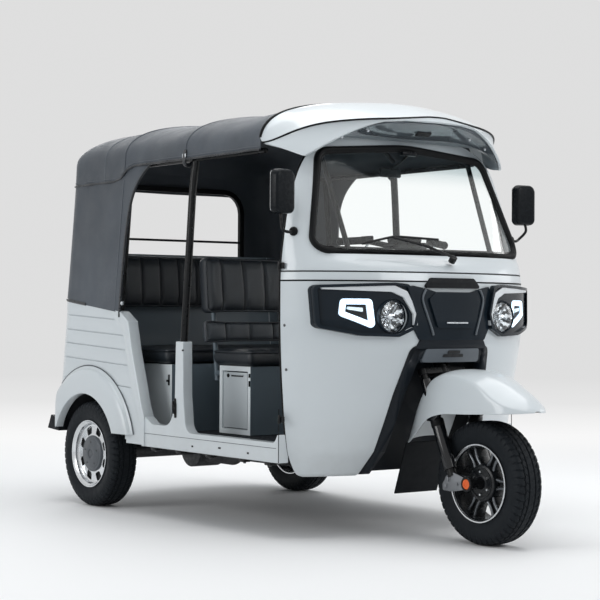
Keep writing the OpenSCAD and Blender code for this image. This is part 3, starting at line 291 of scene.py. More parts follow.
looking_glass = mottled("looking_glass", (0.90, 0.92, 0.94), (0.84, 0.86, 0.88), 8, (0.01, 0.03), 0,
                        Metallic=1.0)


def two_tone(name, half, thin=0.0015, behind=-9.0):
    """Slate enamel, with a pale band between two distances from the centre, behind a place: body colour
    lifted brighter than the white enamel, as painted light on sides that lie in shade.
    """
    f = Finish(name, Coat_Weight=0.2, Coat_Roughness=0.1)
    x, y = f.axes()[:2]
    out = f.math("ABSOLUTE", x)
    light = (out > half - thin) * (1 - (out > half + 0.0015)) * (y > behind)
    slate = f.blend(f.cloud(2.5, 4), (0.110, 0.145, 0.172), (0.140, 0.178, 0.208))
    # The pale is lighter than the body's white enamel: painted light that makes up for the shade on the
    # boxes' sides.
    painted_lit_pale = f.blend(f.cloud(1.3, 3), (0.74, 0.79, 0.81), (0.80, 0.85, 0.87))
    f.feed(Base_Color=f.blend(light, slate, painted_lit_pale), Roughness=f.step(f.cloud(20, 3), 0.3, 0.7, 0.34, 0.46),
           Normal=f.bump(f.cloud(240, 2), 0.08, 0.0006))
    return f.material


sill_shadow = mottled("joint_shadow", (0.10, 0.11, 0.12), (0.06, 0.07, 0.08), 9, (0.5, 0.6), 300, 0.0003)
# Both boxes' pale sides carry painted light; the slate is the boxes' own two-tone paint.
driver_box_paint = two_tone("driver_box_paint", 0.362, 0.016, 0.0385)
bench_box_paint = two_tone("bench_box_paint", 0.4885)
ledge_silver = mottled("ledge_silver_enamel", (0.66, 0.69, 0.71), (0.58, 0.61, 0.64), 5, (0.28, 0.36), 0,
                       Coat_Weight=0.5, Coat_Roughness=0.08)
fork_black = mottled("fork_black_enamel", (0.007, 0.0085, 0.0105), (0.0045, 0.0055, 0.007), 6, (0.16, 0.24),
                     0, Specular_IOR_Level=0.3, Coat_Weight=0.35, Coat_Roughness=0.06)


LAMP_X, LAMP_Z = 0.305, 0.918   # middle of a headlamp, from the centre line and from the ground


def lamp_reflector(centre_x, centre_z):
    """A bright faceted bowl whose light and dark facets are painted reflection in its colour, fanning out
    from the bulb, the same on both sides.
    """
    f = Finish("lamp_reflector", Metallic=1.0)
    x, _, z = f.axes()
    across, up = f.math("ABSOLUTE", x) - centre_x, z - centre_z
    turn = f.math("ARCTAN2", up, across)
    fan = f.math("SINE", turn * 9 + 2.5 * f.cloud(18, 2))
    away = f.math("SQRT", across ** 2 + up ** 2)
    steps = f.math("SINE", away * 420)
    # Painted reflection: dark and bright bands fanned across the bowl's colour.
    dark = f.step(fan + 0.45 * steps, -0.25, 0.35)
    f.feed(Base_Color=f.blend(dark, (0.045, 0.050, 0.055), (0.90, 0.92, 0.94)),
           Roughness=0.06 + 0.10 * f.cloud(60, 2))
    return f.material


reflector = lamp_reflector(LAMP_X, LAMP_Z)
# Painted glow: an emitting ring that stands in for light spilling from the daylight lamp onto the pod.
daylight_halo = glowing("daylight_halo", (0.36, 0.62, 0.95), 0.55)
daylight = glowing("daylight_glow", (0.50, 0.80, 1.0), 1.6)
daylight_dim = glowing("daylight_dim", (0.25, 0.50, 0.62), 0.35)

# ------------------------------------------------------------------ shaping


def deselect():
    bpy.ops.object.select_all(action="DESELECT")


def pick(*objects):
    deselect()
    for o in objects:
        o.select_set(True)
    bpy.context.view_layer.objects.active = objects[-1]
    return objects[-1]


def settled(name):
    """Names the new object and bakes its place into its mesh."""
    o = bpy.context.object
    o.name = o.data.name = name
    pick(o)
    bpy.ops.object.transform_apply(location=True, rotation=True, scale=True)
    return o


MERGE = (bpy.ops.mesh.remove_doubles, {"threshold": 0.00001})


def edited(o, *steps):
    """Runs edit-mode steps on a whole mesh, then turns its faces outwards."""
    pick(o)
    bpy.ops.object.mode_set(mode="EDIT")
    for step, settings in (*steps, (bpy.ops.mesh.normals_make_consistent, {"inside": False})):
        bpy.ops.mesh.select_all(action="SELECT")
        step(**settings)
    bpy.ops.object.mode_set(mode="OBJECT")
    return o


def grid(name, across, along, put):
    """A primitive grid whose points are put on a surface by their two shares."""
    deselect()
    bpy.ops.mesh.primitive_grid_add(x_subdivisions=across, y_subdivisions=along, size=2)
    o = settled(name)
    for v in o.data.vertices:
        v.co = put((v.co.x + 1) / 2, (v.co.y + 1) / 2)
    return o


def block(name, low, high):
    """A box between two corners."""
    deselect()
    low, high = Vector(low), Vector(high)
    bpy.ops.mesh.primitive_cube_add(size=1, location=(low + high) / 2)
    bpy.context.object.scale = high - low
    return settled(name)


def rod(name, a, b, r, r2=None, sides=24):
    """A straight round bar, or a cone, from a to b."""
    deselect()
    a, b = Vector(a), Vector(b)
    bpy.ops.mesh.primitive_cone_add(vertices=sides, radius1=r, radius2=r if r2 is None else r2,
                                    depth=(b - a).length, location=(a + b) / 2)
    bpy.context.object.rotation_mode = "QUATERNION"
    bpy.context.object.rotation_quaternion = (b - a).to_track_quat("Z", "Y")
    return settled(name)


def spun(name, profile, centre, axis="X", steps=64):
    """A ring or bowl made by spinning a profile of (along the axis, radius) points."""
    deselect()
    bpy.ops.mesh.primitive_circle_add(vertices=len(profile), radius=1, fill_type="NOTHING")
    o = settled(name)
    for v, (s, r) in zip(o.data.vertices, profile):
        v.co = (s, 0, r)
    edited(o,
           (bpy.ops.mesh.spin, {"steps": steps, "angle": 2 * pi, "center": (0, 0, 0), "axis": (1, 0, 0)}),
           MERGE)
    turn = {"X": Matrix.Identity(4), "Y": Matrix.Rotation(pi / 2, 4, "Z"),
            "Z": Matrix.Rotation(-pi / 2, 4, "Y")}[axis]
    o.data.transform(Matrix.Translation(centre) @ turn)
    return o


def faced(s, *profile):
    """A profile for spinning that looks towards s along its axis."""
    return [(s * a, r) for a, r in profile]


def front(x, z, y):
    return Vector((x, y, z))


def side(y, z, x):
    return Vector((x, y, z))


def prism(name, outline, put, low, high):
    """An outline drawn out from low to high across its plane."""
    deselect()
    bpy.ops.mesh.primitive_circle_add(vertices=len(outline), radius=1, fill_type="NGON")
    o = settled(name)
    for v, (a, b) in zip(o.data.vertices, outline):
        v.co = put(a, b, low)
    drawn = {"value": put(0, 0, high) - put(0, 0, low)}
    return edited(o, (bpy.ops.mesh.extrude_region_move, {"TRANSFORM_OT_translate": drawn}))


def modify(o, kind, **settings):
    """Adds a modifier and applies it."""
    pick(o)
    m = o.modifiers.new(kind.lower(), kind)
    for key, value in settings.items():
        setattr(m, key, value)
    bpy.ops.object.modifier_apply(modifier=m.name)
    return o


def rounded(o, width, segments=2, angle=30):
    return modify(o, "BEVEL", width=width, segments=segments, limit_method="ANGLE",
                  angle_limit=radians(angle))


def thick(o, thickness, offset=-1.0):
    return modify(o, "SOLIDIFY", thickness=thickness, offset=offset, use_even_offset=True)


def carve(o, *tools, operation="DIFFERENCE"):
    """Cuts the tools out of a piece and removes them."""
    for tool in tools:
        modify(o, "BOOLEAN", operation=operation, object=tool, solver="EXACT")
        bpy.data.objects.remove(tool)
    return o


def turned_by(o, turn, pivot):
    """Turns a mesh about a pivot by degrees round X, Y and Z."""
    matrix = Matrix.Identity(4)
    for axis, angle in zip("XYZ", turn):
        matrix = Matrix.Rotation(radians(angle), 4, axis) @ matrix
    o.data.transform(Matrix.Translation(Vector(pivot)) @ matrix @ Matrix.Translation(-Vector(pivot)))
    return o


def mirrored_copy(o, name):
    """The same piece on the other side of the vehicle."""
    c = copied(o, name)
    c.data.transform(Matrix.Diagonal((-1, 1, 1, 1)))
    c.data.flip_normals()
    return c


def copied(o, name, matrix=None):
    c = o.copy()
    c.data = o.data.copy()
    c.name = c.data.name = name
    bpy.context.scene.collection.objects.link(c)
    if matrix:
        c.data.transform(matrix)
    return c


def joined(name, *objects):
    """One piece made of several, the last of which is the active one."""
    pick(*objects)
    if len(objects) > 1:
        bpy.ops.object.join()
    o = bpy.context.object
    o.name = o.data.name = name
    return o


def smoothed(points, steps=6, cyclic=False):
    """A smooth line through the points."""
    p = [Vector(q) for q in points]
    n = len(p)
    spans = n if cyclic else n - 1
    line = []
    for i in range(spans):
        a, b, c, d = (p[(i + k) % n] if cyclic else p[min(max(i + k, 0), n - 1)] for k in (-1, 0, 1, 2))
        for s in range(steps):
            t = s / steps
            line.append(0.5 * ((2 * b) + (c - a) * t + (2 * a - 5 * b + 4 * c - d) * t ** 2
                               + (3 * b - a - 3 * c + d) * t ** 3))
    return line if cyclic else line + [p[-1]]


def tube(name, path, r, cyclic=False, sides=4):
    """A round bar or cord bent along a path."""
    curve = bpy.data.curves.new(name, "CURVE")
    curve.dimensions = "3D"
    curve.bevel_depth, curve.bevel_resolution, curve.use_fill_caps = r, sides, True
    spline = curve.splines.new("POLY")
    spline.points.add(len(path) - 1)
    for point, q in zip(spline.points, path):
        point.co = (*q, 1)
    spline.use_cyclic_u = cyclic
    o = bpy.data.objects.new(name, curve)
    bpy.context.scene.collection.objects.link(o)
    pick(o)
    bpy.ops.object.convert(target="MESH")
    return bpy.context.object


def made_of(o, material):
    o.data.materials.clear()
    o.data.materials.append(material)
    return o


def done(o, body, material=None, replaces=(), angle=35):
    """Shades a finished piece and sets what it rides on and what it stands for."""
    if material:
        made_of(o, material)
    pick(o)
    bpy.ops.object.shade_smooth_by_angle(angle=radians(angle))
    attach(o, body)
    if replaces:
        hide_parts(*replaces)
    return o


def carried(name, material, width=0.0, split=35):
    """A CAD node with its own finish and softened edges."""
    o = nodes[name]
    o.data.materials.clear()
    o.data.materials.append(material)
    for p in o.data.polygons:
        p.use_smooth = True
    weld = o.modifiers.new("weld", "WELD")
    weld.merge_threshold = 0.00002
    flatten = o.modifiers.new("flatten", "DECIMATE")
    flatten.decimate_type, flatten.angle_limit = "DISSOLVE", radians(0.4)
    if width:
        soft = o.modifiers.new("soften", "BEVEL")
        soft.width, soft.segments, soft.limit_method, soft.angle_limit = width, 2, "ANGLE", radians(split)
    o.modifiers.new("shade", "WEIGHTED_NORMAL").keep_sharp = True
    return o


# ------------------------------------------------------------------ shared lines of the vehicle

LUMBAR = (0.092, 0.210)         # heights of the lumbar pad over the seat box
PAD_VOXEL = 0.012               # the seat pads' mesh size before they swell


def middle(name):
    low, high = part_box(name)
    return (low + high) / 2


FRONT_Y = middle("front_tyre").y
REAR_Y = middle("rear_tyre_right").y
AXLE_Z = middle("front_tyre").z
HALF = -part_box("side_sills")[0].x
JAMB_Y = FRONT_Y + 0.540
CLOTH_BACK = REAR_Y + 0.318
WAIST_Z = 0.925
ROOF_Z = cad_box[1].z
EAVE_Z = ROOF_Z - 0.196
CURTAIN_Y = REAR_Y - 0.278

# Height, inset from the side, middle of the nose curve behind the axle, its depth, squareness
COWL_ROWS = [
    (0.258, 0.016, 0.674, 0.244, 2.0), (0.266, 0.005, 0.670, 0.258, 2.0), (0.280, 0, 0.668, 0.267, 2.0),
    (0.360, 0, 0.655, 0.320, 2.0), (0.480, 0, 0.636, 0.332, 2.0), (0.600, 0, 0.618, 0.340, 2.0),
    (0.700, 0, 0.603, 0.357, 2.0), (0.800, 0, 0.588, 0.373, 2.0), (0.900, 0, 0.572, 0.358, 2.0),
    (1.060, 0, 0.568, 0.345, 2.0), (1.100, 0.003, 0.568, 0.336, 2.0), (1.135, 0.007, 0.568, 0.310, 2.1),
    (1.166, 0.011, 0.568, 0.267, 2.2), (1.320, 0.032, 0.597, 0.216, 2.4), (1.480, 0.060, 0.628, 0.168, 2.6),
    (1.640, 0.090, 0.652, 0.116, 2.8), (1.682, 0.097, 0.656, 0.102, 2.8),
]


def lookup(rows, at, column):
    if at <= rows[0][0]:
        return rows[0][column]
    for a, b in zip(rows, rows[1:]):
        if at <= b[0]:
            return a[column] + (b[column] - a[column]) * (at - a[0]) / (b[0] - a[0])
    return rows[-1][column]


def mix(a, b, t):
    return a + (b - a) * t


def ease(t):
    t = max(0.0, min(1.0, t))
    return t * t * (3 - 2 * t)


def signed_power(value, power):
    return (1 if value >= 0 else -1) * abs(value) ** power


def nose(z, angle, inside=0.0):
    """A point of the cowl's skin: angle runs from -90 at the right side to 90 at the left."""
    a = HALF - lookup(COWL_ROWS, z, 1) - inside
    b = lookup(COWL_ROWS, z, 3) - inside
    n = lookup(COWL_ROWS, z, 4)
    w = radians(angle)
    return Vector((a * signed_power(sin(w), 2 / n),
                   FRONT_Y + lookup(COWL_ROWS, z, 2) - b * max(0.0, cos(w)) ** (2 / n), z))


def on_nose(x, z, proud=0.0):
    """The point of the cowl's skin straight ahead of x and z, standing proud by that much."""
    a = HALF - lookup(COWL_ROWS, z, 1) + proud
    b = lookup(COWL_ROWS, z, 3) + proud
    n = lookup(COWL_ROWS, z, 4)
    share = max(0.0, 1 - min(1.0, abs(x) / a) ** n)
    return Vector((x, FRONT_Y + lookup(COWL_ROWS, z, 2) - b * share ** (1 / n), z))


def rounded_outline(corners, steps=8):
    """The points of an outline whose corners (a, b, radius) are rounded."""
    line, n = [], len(corners)
    for i, (x, y, r) in enumerate(corners):
        p = Vector((x, y))
        if r == 0:
            line.append(p)
            continue
        u = (Vector(corners[i - 1][:2]) - p).normalized()
        v = (Vector(corners[(i + 1) % n][:2]) - p).normalized()
        half = acos(max(-1, min(1, u.dot(v)))) / 2
        centre = p + (u + v).normalized() * r / sin(half)
        a, b = p + u * r / tan(half) - centre, p + v * r / tan(half) - centre
        turn = atan2(a.x * b.y - a.y * b.x, a.dot(b))
        for k in range(steps + 1):
            t = turn * k / steps
            line.append(centre + Vector((a.x * cos(t) - a.y * sin(t), a.x * sin(t) + a.y * cos(t))))
    return line


def rectangle(a0, b0, a1, b1, r, steps=8):
    """A rectangle's outline with rounded corners."""
    return rounded_outline([(a0, b0, r), (a1, b0, r), (a1, b1, r), (a0, b1, r)], steps)


def moved_outline(corners, g):
    """An outline of rounded corners, grown by g."""
    n = len(corners)
    line = []
    area = sum(corners[i - 1][0] * corners[i][1] - corners[i][0] * corners[i - 1][1] for i in range(n))
    turn = 1 if area > 0 else -1
    for i, (x, y, r) in enumerate(corners):
        p = Vector((x, y))
        a = (p - Vector(corners[i - 1][:2])).normalized()
        b = (Vector(corners[(i + 1) % n][:2]) - p).normalized()
        na, nb = Vector((a.y, -a.x)) * turn, Vector((b.y, -b.x)) * turn
        both = (na + nb).normalized()
        q = p + both * g / max(0.3, both.dot(na))
        line.append((q.x, q.y, max(0.002, r + g)))
    return line


def glass_outline(g=0.0):
    return rounded_outline([(-0.590 - g, 1.172 - g, 0.062 + g), (0.590 + g, 1.172 - g, 0.062 + g),
                            (0.470 + g, 1.618 + g, 0.080 + g), (0, 1.654 + g, 0.9),
                            (-0.470 - g, 1.618 + g, 0.080 + g)])


def bay_outline(g=0.0):
    lean = (0.318 - 0.212) / (0.800 - 0.258)
    return rounded_outline([(-0.318 - g - 0.06 * lean, 0.198, 0), (-0.212 - g, 0.800 + g, 0.04),
                            (0.212 + g, 0.800 + g, 0.04), (0.318 + g + 0.06 * lean, 0.198, 0)])


# ------------------------------------------------------------------ cowl, glass and face

COWL_STEPS = [0.258, 0.260, 0.263, 0.268, 0.275, 0.285] + [0.285 + 0.0155 * k for k in range(1, 50)] + [
    1.0565, 1.0585, 1.0595, 1.0645, 1.0655, 1.0675, 1.078, 1.088, 1.096, 1.0975, 1.1015, 1.103, 1.112] + [
    1.112 + 0.019 * k for k in range(1, 31)]


def groove(z):
    return 0.006 * (1.0590 < z < 1.0650) + 0.0035 * (1.0972 < z < 1.1018)


def jamb_angle(z, inside=0.0):
    """Where the skin meets the door jamb, which leans with the pillar."""
    jamb = 0.540 + 0.022 * max(0.0, z - 1.06) / 0.632
    share = (lookup(COWL_ROWS, z, 2) - jamb) / (lookup(COWL_ROWS, z, 3) - inside)
    return degrees(acos(share ** (lookup(COWL_ROWS, z, 4) / 2)))


def cowl_point(u, v):
    z = COWL_STEPS[min(round(v * (len(COWL_STEPS) - 1)), len(COWL_STEPS) - 1)]
    return nose(z, jamb_angle(z, groove(z)) * (2 * u - 1), groove(z))


def flipped_out(o, towards):
    """Turns an open sheet so that its faces look the given way."""
    total = sum((p.normal * p.area for p in o.data.polygons), Vector())
    if total.dot(Vector(towards)) < 0:
        o.data.flip_normals()
    return o


cowl = flipped_out(grid("front_cowl_skin", 150, len(COWL_STEPS) - 1, cowl_point), (0, -1, 0))
thick(cowl, 0.028)
carve(cowl, prism("glass_cut", glass_outline(), front, FRONT_Y - 0.1, FRONT_Y + 0.7),
      prism("bay_cut", bay_outline(), front, FRONT_Y - 0.1, FRONT_Y + 0.48),
      *[rod("lamp_cut", (s * LAMP_X, FRONT_Y - 0.4, LAMP_Z), (s * LAMP_X, FRONT_Y + 0.4, LAMP_Z), 0.068,
            sides=48) for s in (-1, 1)])
done(cowl, "body", white, ("front_cowl",), 30)


def skin_line(name, z, r, proud=0.0, steps=90):
    """A cord laid along the cowl's skin at one height, from jamb to jamb."""
    end = jamb_angle(z) - 0.5
    return tube(name, [nose(z, mix(-end, end, k / steps), -proud) for k in range(steps + 1)], r, sides=2)


belt = joined("belt_seams", skin_line("seam_low", 1.062, 0.0032, proud=-0.0035),
              skin_line("seam_high", 1.0995, 0.0018, proud=-0.002))
done(belt, "body", seal_rubber)


def panel_on_nose(name, outline, low, high, across, along):
    """A plate that follows the cowl's skin between two heights over it, cut to a front outline."""
    xs = [p[0] for p in outline]
    zs = [p[1] for p in outline]
    x0, x1, z0, z1 = min(xs) - 0.01, max(xs) + 0.01, min(zs) - 0.01, max(zs) + 0.01
    plate = grid(name, across, along, lambda u, v: on_nose(mix(x0, x1, u), mix(z0, z1, v), high))
    flipped_out(plate, (0, -1, 0))
    lower = grid(name + "_back", across, along, lambda u, v: on_nose(mix(x0, x1, u), mix(z0, z1, v), low))
    flipped_out(lower, (0, 1, 0))
    pick(lower, plate)
    bpy.ops.object.join()
    plate = bpy.context.object
    bpy.ops.object.mode_set(mode="EDIT")
    bpy.ops.mesh.select_mode(type="EDGE")
    bpy.ops.mesh.select_all(action="DESELECT")
    bpy.ops.mesh.select_non_manifold()
    bpy.ops.mesh.bridge_edge_loops()
    bpy.ops.mesh.select_all(action="SELECT")
    bpy.ops.mesh.normals_make_consistent(inside=False)
    bpy.ops.object.mode_set(mode="OBJECT")
    return carve(plate, prism(name + "_cut", outline, front, FRONT_Y - 0.2, FRONT_Y + 0.55),
                 operation="INTERSECT")


glass = panel_on_nose("windshield", glass_outline(-0.021), -0.011, -0.006, 60, 40)
done(glass, "body", windshield, ("windshield_glass",))


def outline_on_nose(outline, proud):
    return [on_nose(p[0], p[1], proud) for p in outline]


seal = joined("windshield_gasket",
              tube("gasket_outer", outline_on_nose(glass_outline(-0.012), 0.001), 0.0135, True),
              tube("gasket_inner", outline_on_nose(glass_outline(-0.023), -0.004), 0.0085, True))
done(seal, "body", seal_rubber, ("windshield_seal",))

# The mask: two lamp pods joined by a notched middle
POD = [(-0.600, 1.044, 0.022), (-0.590, 0.872, 0.026), (-0.440, 0.840, 0.030), (-0.286, 0.835, 0.026),
       (-0.212, 0.868, 0.012), (-0.196, 0.930, 0.02), (-0.236, 1.050, 0.02), (-0.300, 1.056, 0.024)]
DAYLIGHT = [(-0.505, 0.986, 0.012), (-0.512, 0.924, 0.012), (-0.380, 0.868, 0.014), (-0.392, 0.986, 0.014)]
SLOT = [(-0.480, 0.957, 0.003), (-0.480, 0.946, 0.003), (-0.424, 0.936, 0.003), (-0.424, 0.953, 0.003)]
LEDGE = [(-0.572, 1.036, 0.004), (-0.420, 1.043, 0), (-0.300, 1.043, 0.010), (-0.246, 1.020, 0.012),
         (-0.203, 0.936, 0.010), (-0.203, 0.882, 0.004), (-0.221, 0.882, 0.004), (-0.221, 0.930, 0.010),
         (-0.262, 0.996, 0.012), (-0.312, 1.018, 0.010), (-0.420, 1.021, 0), (-0.572, 1.027, 0.004)]
LOWER_LEDGE = [(-0.560, 0.878, 0.002), (-0.440, 0.852, 0.02), (-0.288, 0.847, 0.02), (-0.224, 0.876, 0.002),
               (-0.221, 0.868, 0.002), (-0.286, 0.841, 0.02), (-0.440, 0.845, 0.02), (-0.560, 0.871, 0.002)]



def plate(name, corners, low, high, across, along, material, width=0.0, segments=2):
    """A finished plate on the nose with rounded corners, its edges softened by width."""
    o = made_of(panel_on_nose(name, rounded_outline(corners), low, high, across, along), material)
    return rounded(o, width, segments, 40) if width else o


def punched(o, corners, g):
    """Cuts an outline, grown by g, right through a plate on the nose."""
    return carve(o,
                 prism("punch", rounded_outline(moved_outline(corners, g)), front, FRONT_Y - 0.3,
                       FRONT_Y + 0.6))


bowl_hole = (-LAMP_X, FRONT_Y - 0.4, LAMP_Z), (-LAMP_X, FRONT_Y + 0.5, LAMP_Z)
pod = panel_on_nose("lamp_pod_right", rounded_outline(POD), -0.004, 0.015, 100, 50)
rounded(pod, 0.004, 3, 40)
pod_rim = panel_on_nose("pod_rim", rounded_outline(POD), 0.012, 0.027, 100, 50)
punched(pod_rim, POD, -0.012)
rounded(pod_rim, 0.0035, 3, 40)
carve(pod, rod("bowl_hole", *bowl_hole, 0.071, sides=64),
      panel_on_nose("daylight_hole", rounded_outline(moved_outline(DAYLIGHT, 0.004)), 0.004, 0.06, 30, 20))
for piece in (pod, pod_rim):
    made_of(piece, gloss_plastic)
ledge = plate("pod_ledge", LEDGE, 0.010, 0.0245, 90, 50, ledge_silver, 0.0025)
ledge_low = plate("pod_lower_ledge", LOWER_LEDGE, 0.010, 0.0225, 90, 20, ledge_silver)
daylight_loop = panel_on_nose("daylight_loop", rounded_outline(DAYLIGHT), 0.006, 0.017, 60, 40)
punched(daylight_loop, DAYLIGHT, -0.017)
rounded(daylight_loop, 0.002, 2, 40)
made_of(daylight_loop, daylight)
# A faint emitting ring round the daylight loop: painted glow, not a lamp.
painted_glow_ring = panel_on_nose("daylight_halo", rounded_outline(moved_outline(DAYLIGHT, 0.0038)), 0.0062, 0.0125, 40,
                     30)
punched(painted_glow_ring, DAYLIGHT, -0.0200)
made_of(painted_glow_ring, daylight_halo)
daylight_slot = plate("daylight_slot", SLOT, 0.006, 0.011, 20, 10, daylight_dim)
daylight_floor = plate("daylight_floor", moved_outline(DAYLIGHT, 0.006), 0.001, 0.006, 30, 20, dark_cavity)

LAMP = Vector((-LAMP_X, on_nose(-0.371, LAMP_Z, 0.026).y, LAMP_Z))
bowl_profile = [(0.004, 0.0665), (-0.004, 0.0665), (-0.004, 0.0625), (0.004, 0.060), (0.016, 0.052),
                (0.026, 0.038), (0.031, 0.020), (0.032, 0.0005), (0.0335, 0.0005), (0.034, 0.021),
                (0.029, 0.042), (0.018, 0.0665)]
bowl = spun("headlamp_bowl", bowl_profile, LAMP, "Y", 72)
for v in bowl.data.vertices:
    d = v.co - LAMP
    away = sqrt(d.x ** 2 + d.z ** 2)
    if 0.012 < away < 0.0605 and d.y > 0.0:
        facet = atan2(d.z, d.x) / (2 * pi) * 12
        v.co.y += 0.0055 * (abs(facet - round(facet)) - 0.25) * min(1, away / 0.03)
made_of(bowl, reflector)
shade = spun("headlamp_shade",
             [(0.003, 0.0005), (0.005, 0.010), (0.010, 0.0135), (0.029, 0.0135), (0.029, 0.0005)], LAMP,
             "Y", 32)
made_of(shade, chrome)
bars = joined("headlamp_webs", *[turned_by(block("web", LAMP + Vector((0.012, 0.008, -0.0015)),
                                                LAMP + Vector((0.058, 0.016, 0.0015))), (0, angle, 0), LAMP)
                               for angle in (20, 92, 164, 236, 308)])
made_of(bars, silver)
dome = spun("headlamp_dome",
            [(-0.0045, 0.0625), (-0.009, 0.055), (-0.0135, 0.040), (-0.016, 0.020), (-0.0168, 0.0004),
             (-0.0138, 0.0004), (-0.013, 0.020), (-0.0105, 0.039), (-0.0065, 0.053), (-0.002, 0.0625)],
            LAMP, "Y", 64)
made_of(dome, lens)
bezel = spun("headlamp_bezel",
             [(-0.0075, 0.0630), (-0.0075, 0.0690), (-0.004, 0.0705), (0.02, 0.0705), (0.02, 0.068),
              (-0.004, 0.0675)], LAMP, "Y", 72)
made_of(bezel, gloss_plastic)

pod_right = joined("lamp_pod_right", ledge, ledge_low, bezel, pod_rim, pod)
lamp_right = joined("headlamp_right", shade, bars, bowl)
lens_right = joined("headlamp_lens_right", dome)
day_right = joined("daylight_lamp_right", painted_glow_ring, daylight_slot, daylight_floor, daylight_loop)
pod_left = mirrored_copy(pod_right, "lamp_pod_left")
lamp_left = mirrored_copy(lamp_right, "headlamp_left")
lens_left = mirrored_copy(lens_right, "headlamp_lens_left")
day_left = mirrored_copy(day_right, "daylight_lamp_left")

mask_middle = plate("mask_middle", [
    (-0.206, 0.868, 0.012), (-0.178, 0.821, 0.014), (0.178, 0.821, 0.014), (0.206, 0.868, 0.012),
    (0.226, 1.020, 0.02), (0.215, 1.046, 0.01), (0.150, 1.034, 0.014), (0.096, 1.020, 0.012),
    (-0.096, 1.020, 0.012), (-0.150, 1.034, 0.014), (-0.215, 1.046, 0.01), (-0.226, 1.020, 0.02)],
    -0.004, 0.010, 74, 40, gloss_plastic, 0.003)
shield = plate("badge_panel", [
    (-0.100, 0.872, 0.018), (0.100, 0.872, 0.018), (0.140, 0.990, 0.016), (0.105, 1.018, 0.016),
    (-0.105, 1.018, 0.016), (-0.140, 0.990, 0.016)], 0.004, 0.021, 60, 40, gloss_plastic, 0.005, 3)
shield_trim = tube("badge_panel_trim", [on_nose(0.058 * k / 8, 0.893, 0.0235) for k in range(-8, 9)],
                   0.0036)
made_of(shield_trim, silver)
RIB_LINE = ((0.150, 1.030), (0.168, 0.990), (0.150, 0.930), (0.126, 0.868), (0.118, 0.842))
v_lines = [tube("mask_rib", smoothed([on_nose(s * x, z, 0.014) for x, z in RIB_LINE], 8), 0.005)
           for s in (-1, 1)]
for line in v_lines:
    made_of(line, grey_plastic)
hood = plate("intake_hood", [
    (-0.158, 1.036, 0.008), (0.158, 1.036, 0.008), (0.118, 1.078, 0.014), (-0.118, 1.078, 0.014)],
    -0.004, 0.013, 50, 24, grain_plastic, 0.004, 3)
neck = plate("mask_neck", [
    (-0.196, 0.786, 0.004), (0.196, 0.786, 0.004), (0.170, 0.830, 0.004), (-0.170, 0.830, 0.004)],
    -0.004, 0.007, 50, 12, bay_plastic)
over_wheel = plate("over_wheel_panel", [
    (-0.158, 0.730, 0.012), (0.158, 0.730, 0.012), (0.146, 0.786, 0.012), (-0.146, 0.786, 0.012)],
    -0.006, 0.0115, 50, 16, grey_plastic, 0.003)
slots = []
# The slots are dark patches on the panel: painted shade for their openings.
for w, z in ((0.034, 0.772), (0.056, 0.757)):
    slot = panel_on_nose("over_wheel_slot", rounded_outline([
        (-w, z - 0.0065, 0.003), (w, z - 0.0065, 0.003), (w * 0.94, z + 0.0065, 0.003),
        (-w * 0.94, z + 0.0065, 0.003)]), 0.006, 0.0150, 20, 6)
    slots.append(made_of(rounded(slot, 0.0015), dark_cavity))
mask = joined("mask_centre", *slots, over_wheel, neck, *v_lines, shield_trim, shield, hood, mask_middle)

done(mask, "body", replaces=("headlamp_mask",))
for piece in (pod_right, pod_left):
    done(piece, "body", angle=40)
for piece in (lamp_right, lamp_left):
    done(piece, "body", replaces=("headlamps",), angle=14)
for piece in (lens_right, lens_left):
    done(piece, "body")
for piece in (day_right, day_left):
    done(piece, "body", replaces=("front_lamp_lenses",))


# ------------------------------------------------------------------ roof cap and its visor

CAP_BACK = FRONT_Y + 0.748


def arch(x):
    return max(0.0, 1 - min(1.0, abs(x)) ** 2.5) ** 0.4


def lip_point(u):
    """The brow's front edge."""
    cosine = max(0.0, cos(radians(90 * abs(u)))) ** (2 / 1.38)
    return Vector(((HALF - 0.098) * signed_power(sin(radians(90 * u)), 2 / 1.38),
                   FRONT_Y + 0.520 - 0.216 * cosine,
                   mix(ROOF_Z - 0.104, EAVE_Z - 0.066, ease((abs(u) - 0.3) / 0.68))))


def seam_point(u):
    """The groove where the white cap ends and the brow's skirt begins."""
    lip = lip_point(u)
    w = ease((abs(u) - 0.10) / 0.90)
    far = Vector(((1 if u > 0 else -1) * (HALF - 0.047), CAP_BACK - 0.012, EAVE_Z + 0.004))
    return Vector((mix(lip.x, far.x, w ** 0.8), mix(lip.y + 0.012, far.y, w ** 1.7),
                   mix(lip.z + 0.022, far.z, w ** 0.75) + 0.035 * sin(pi * w) ** 2))


def cap_point(u, v):
    """A point of the roof cap: u across from -1 to 1, v from the joint with the canopy to the groove."""
    start = Vector(((HALF - 0.047) * u, CAP_BACK, mix(EAVE_Z, ROOF_Z, arch(u))))
    end = seam_point(u)
    crown = 0.026 * (1 - abs(u) ** 3) * sin(pi * v)
    return Vector((mix(start.x, end.x, v), mix(start.y, end.y, v), mix(start.z, end.z, v ** 1.2) + crown))


def skirt_point(u, v):
    """A point of the brow's skirt, from the groove down to the lip."""
    a, b = seam_point(u), lip_point(u)
    side_way = 0.016 * sin(pi * v) * ease((abs(u) - 0.35) / 0.5)
    return a.lerp(b, v) + Vector(((1 if u > 0 else -1) * side_way, 0, 0.3 * side_way))


def across_cap(t):
    """Crowds the cap's grid lines towards its two sides, where it bends most."""
    return (1 if t >= 0 else -1) * (1 - (1 - abs(t)) ** 1.5)


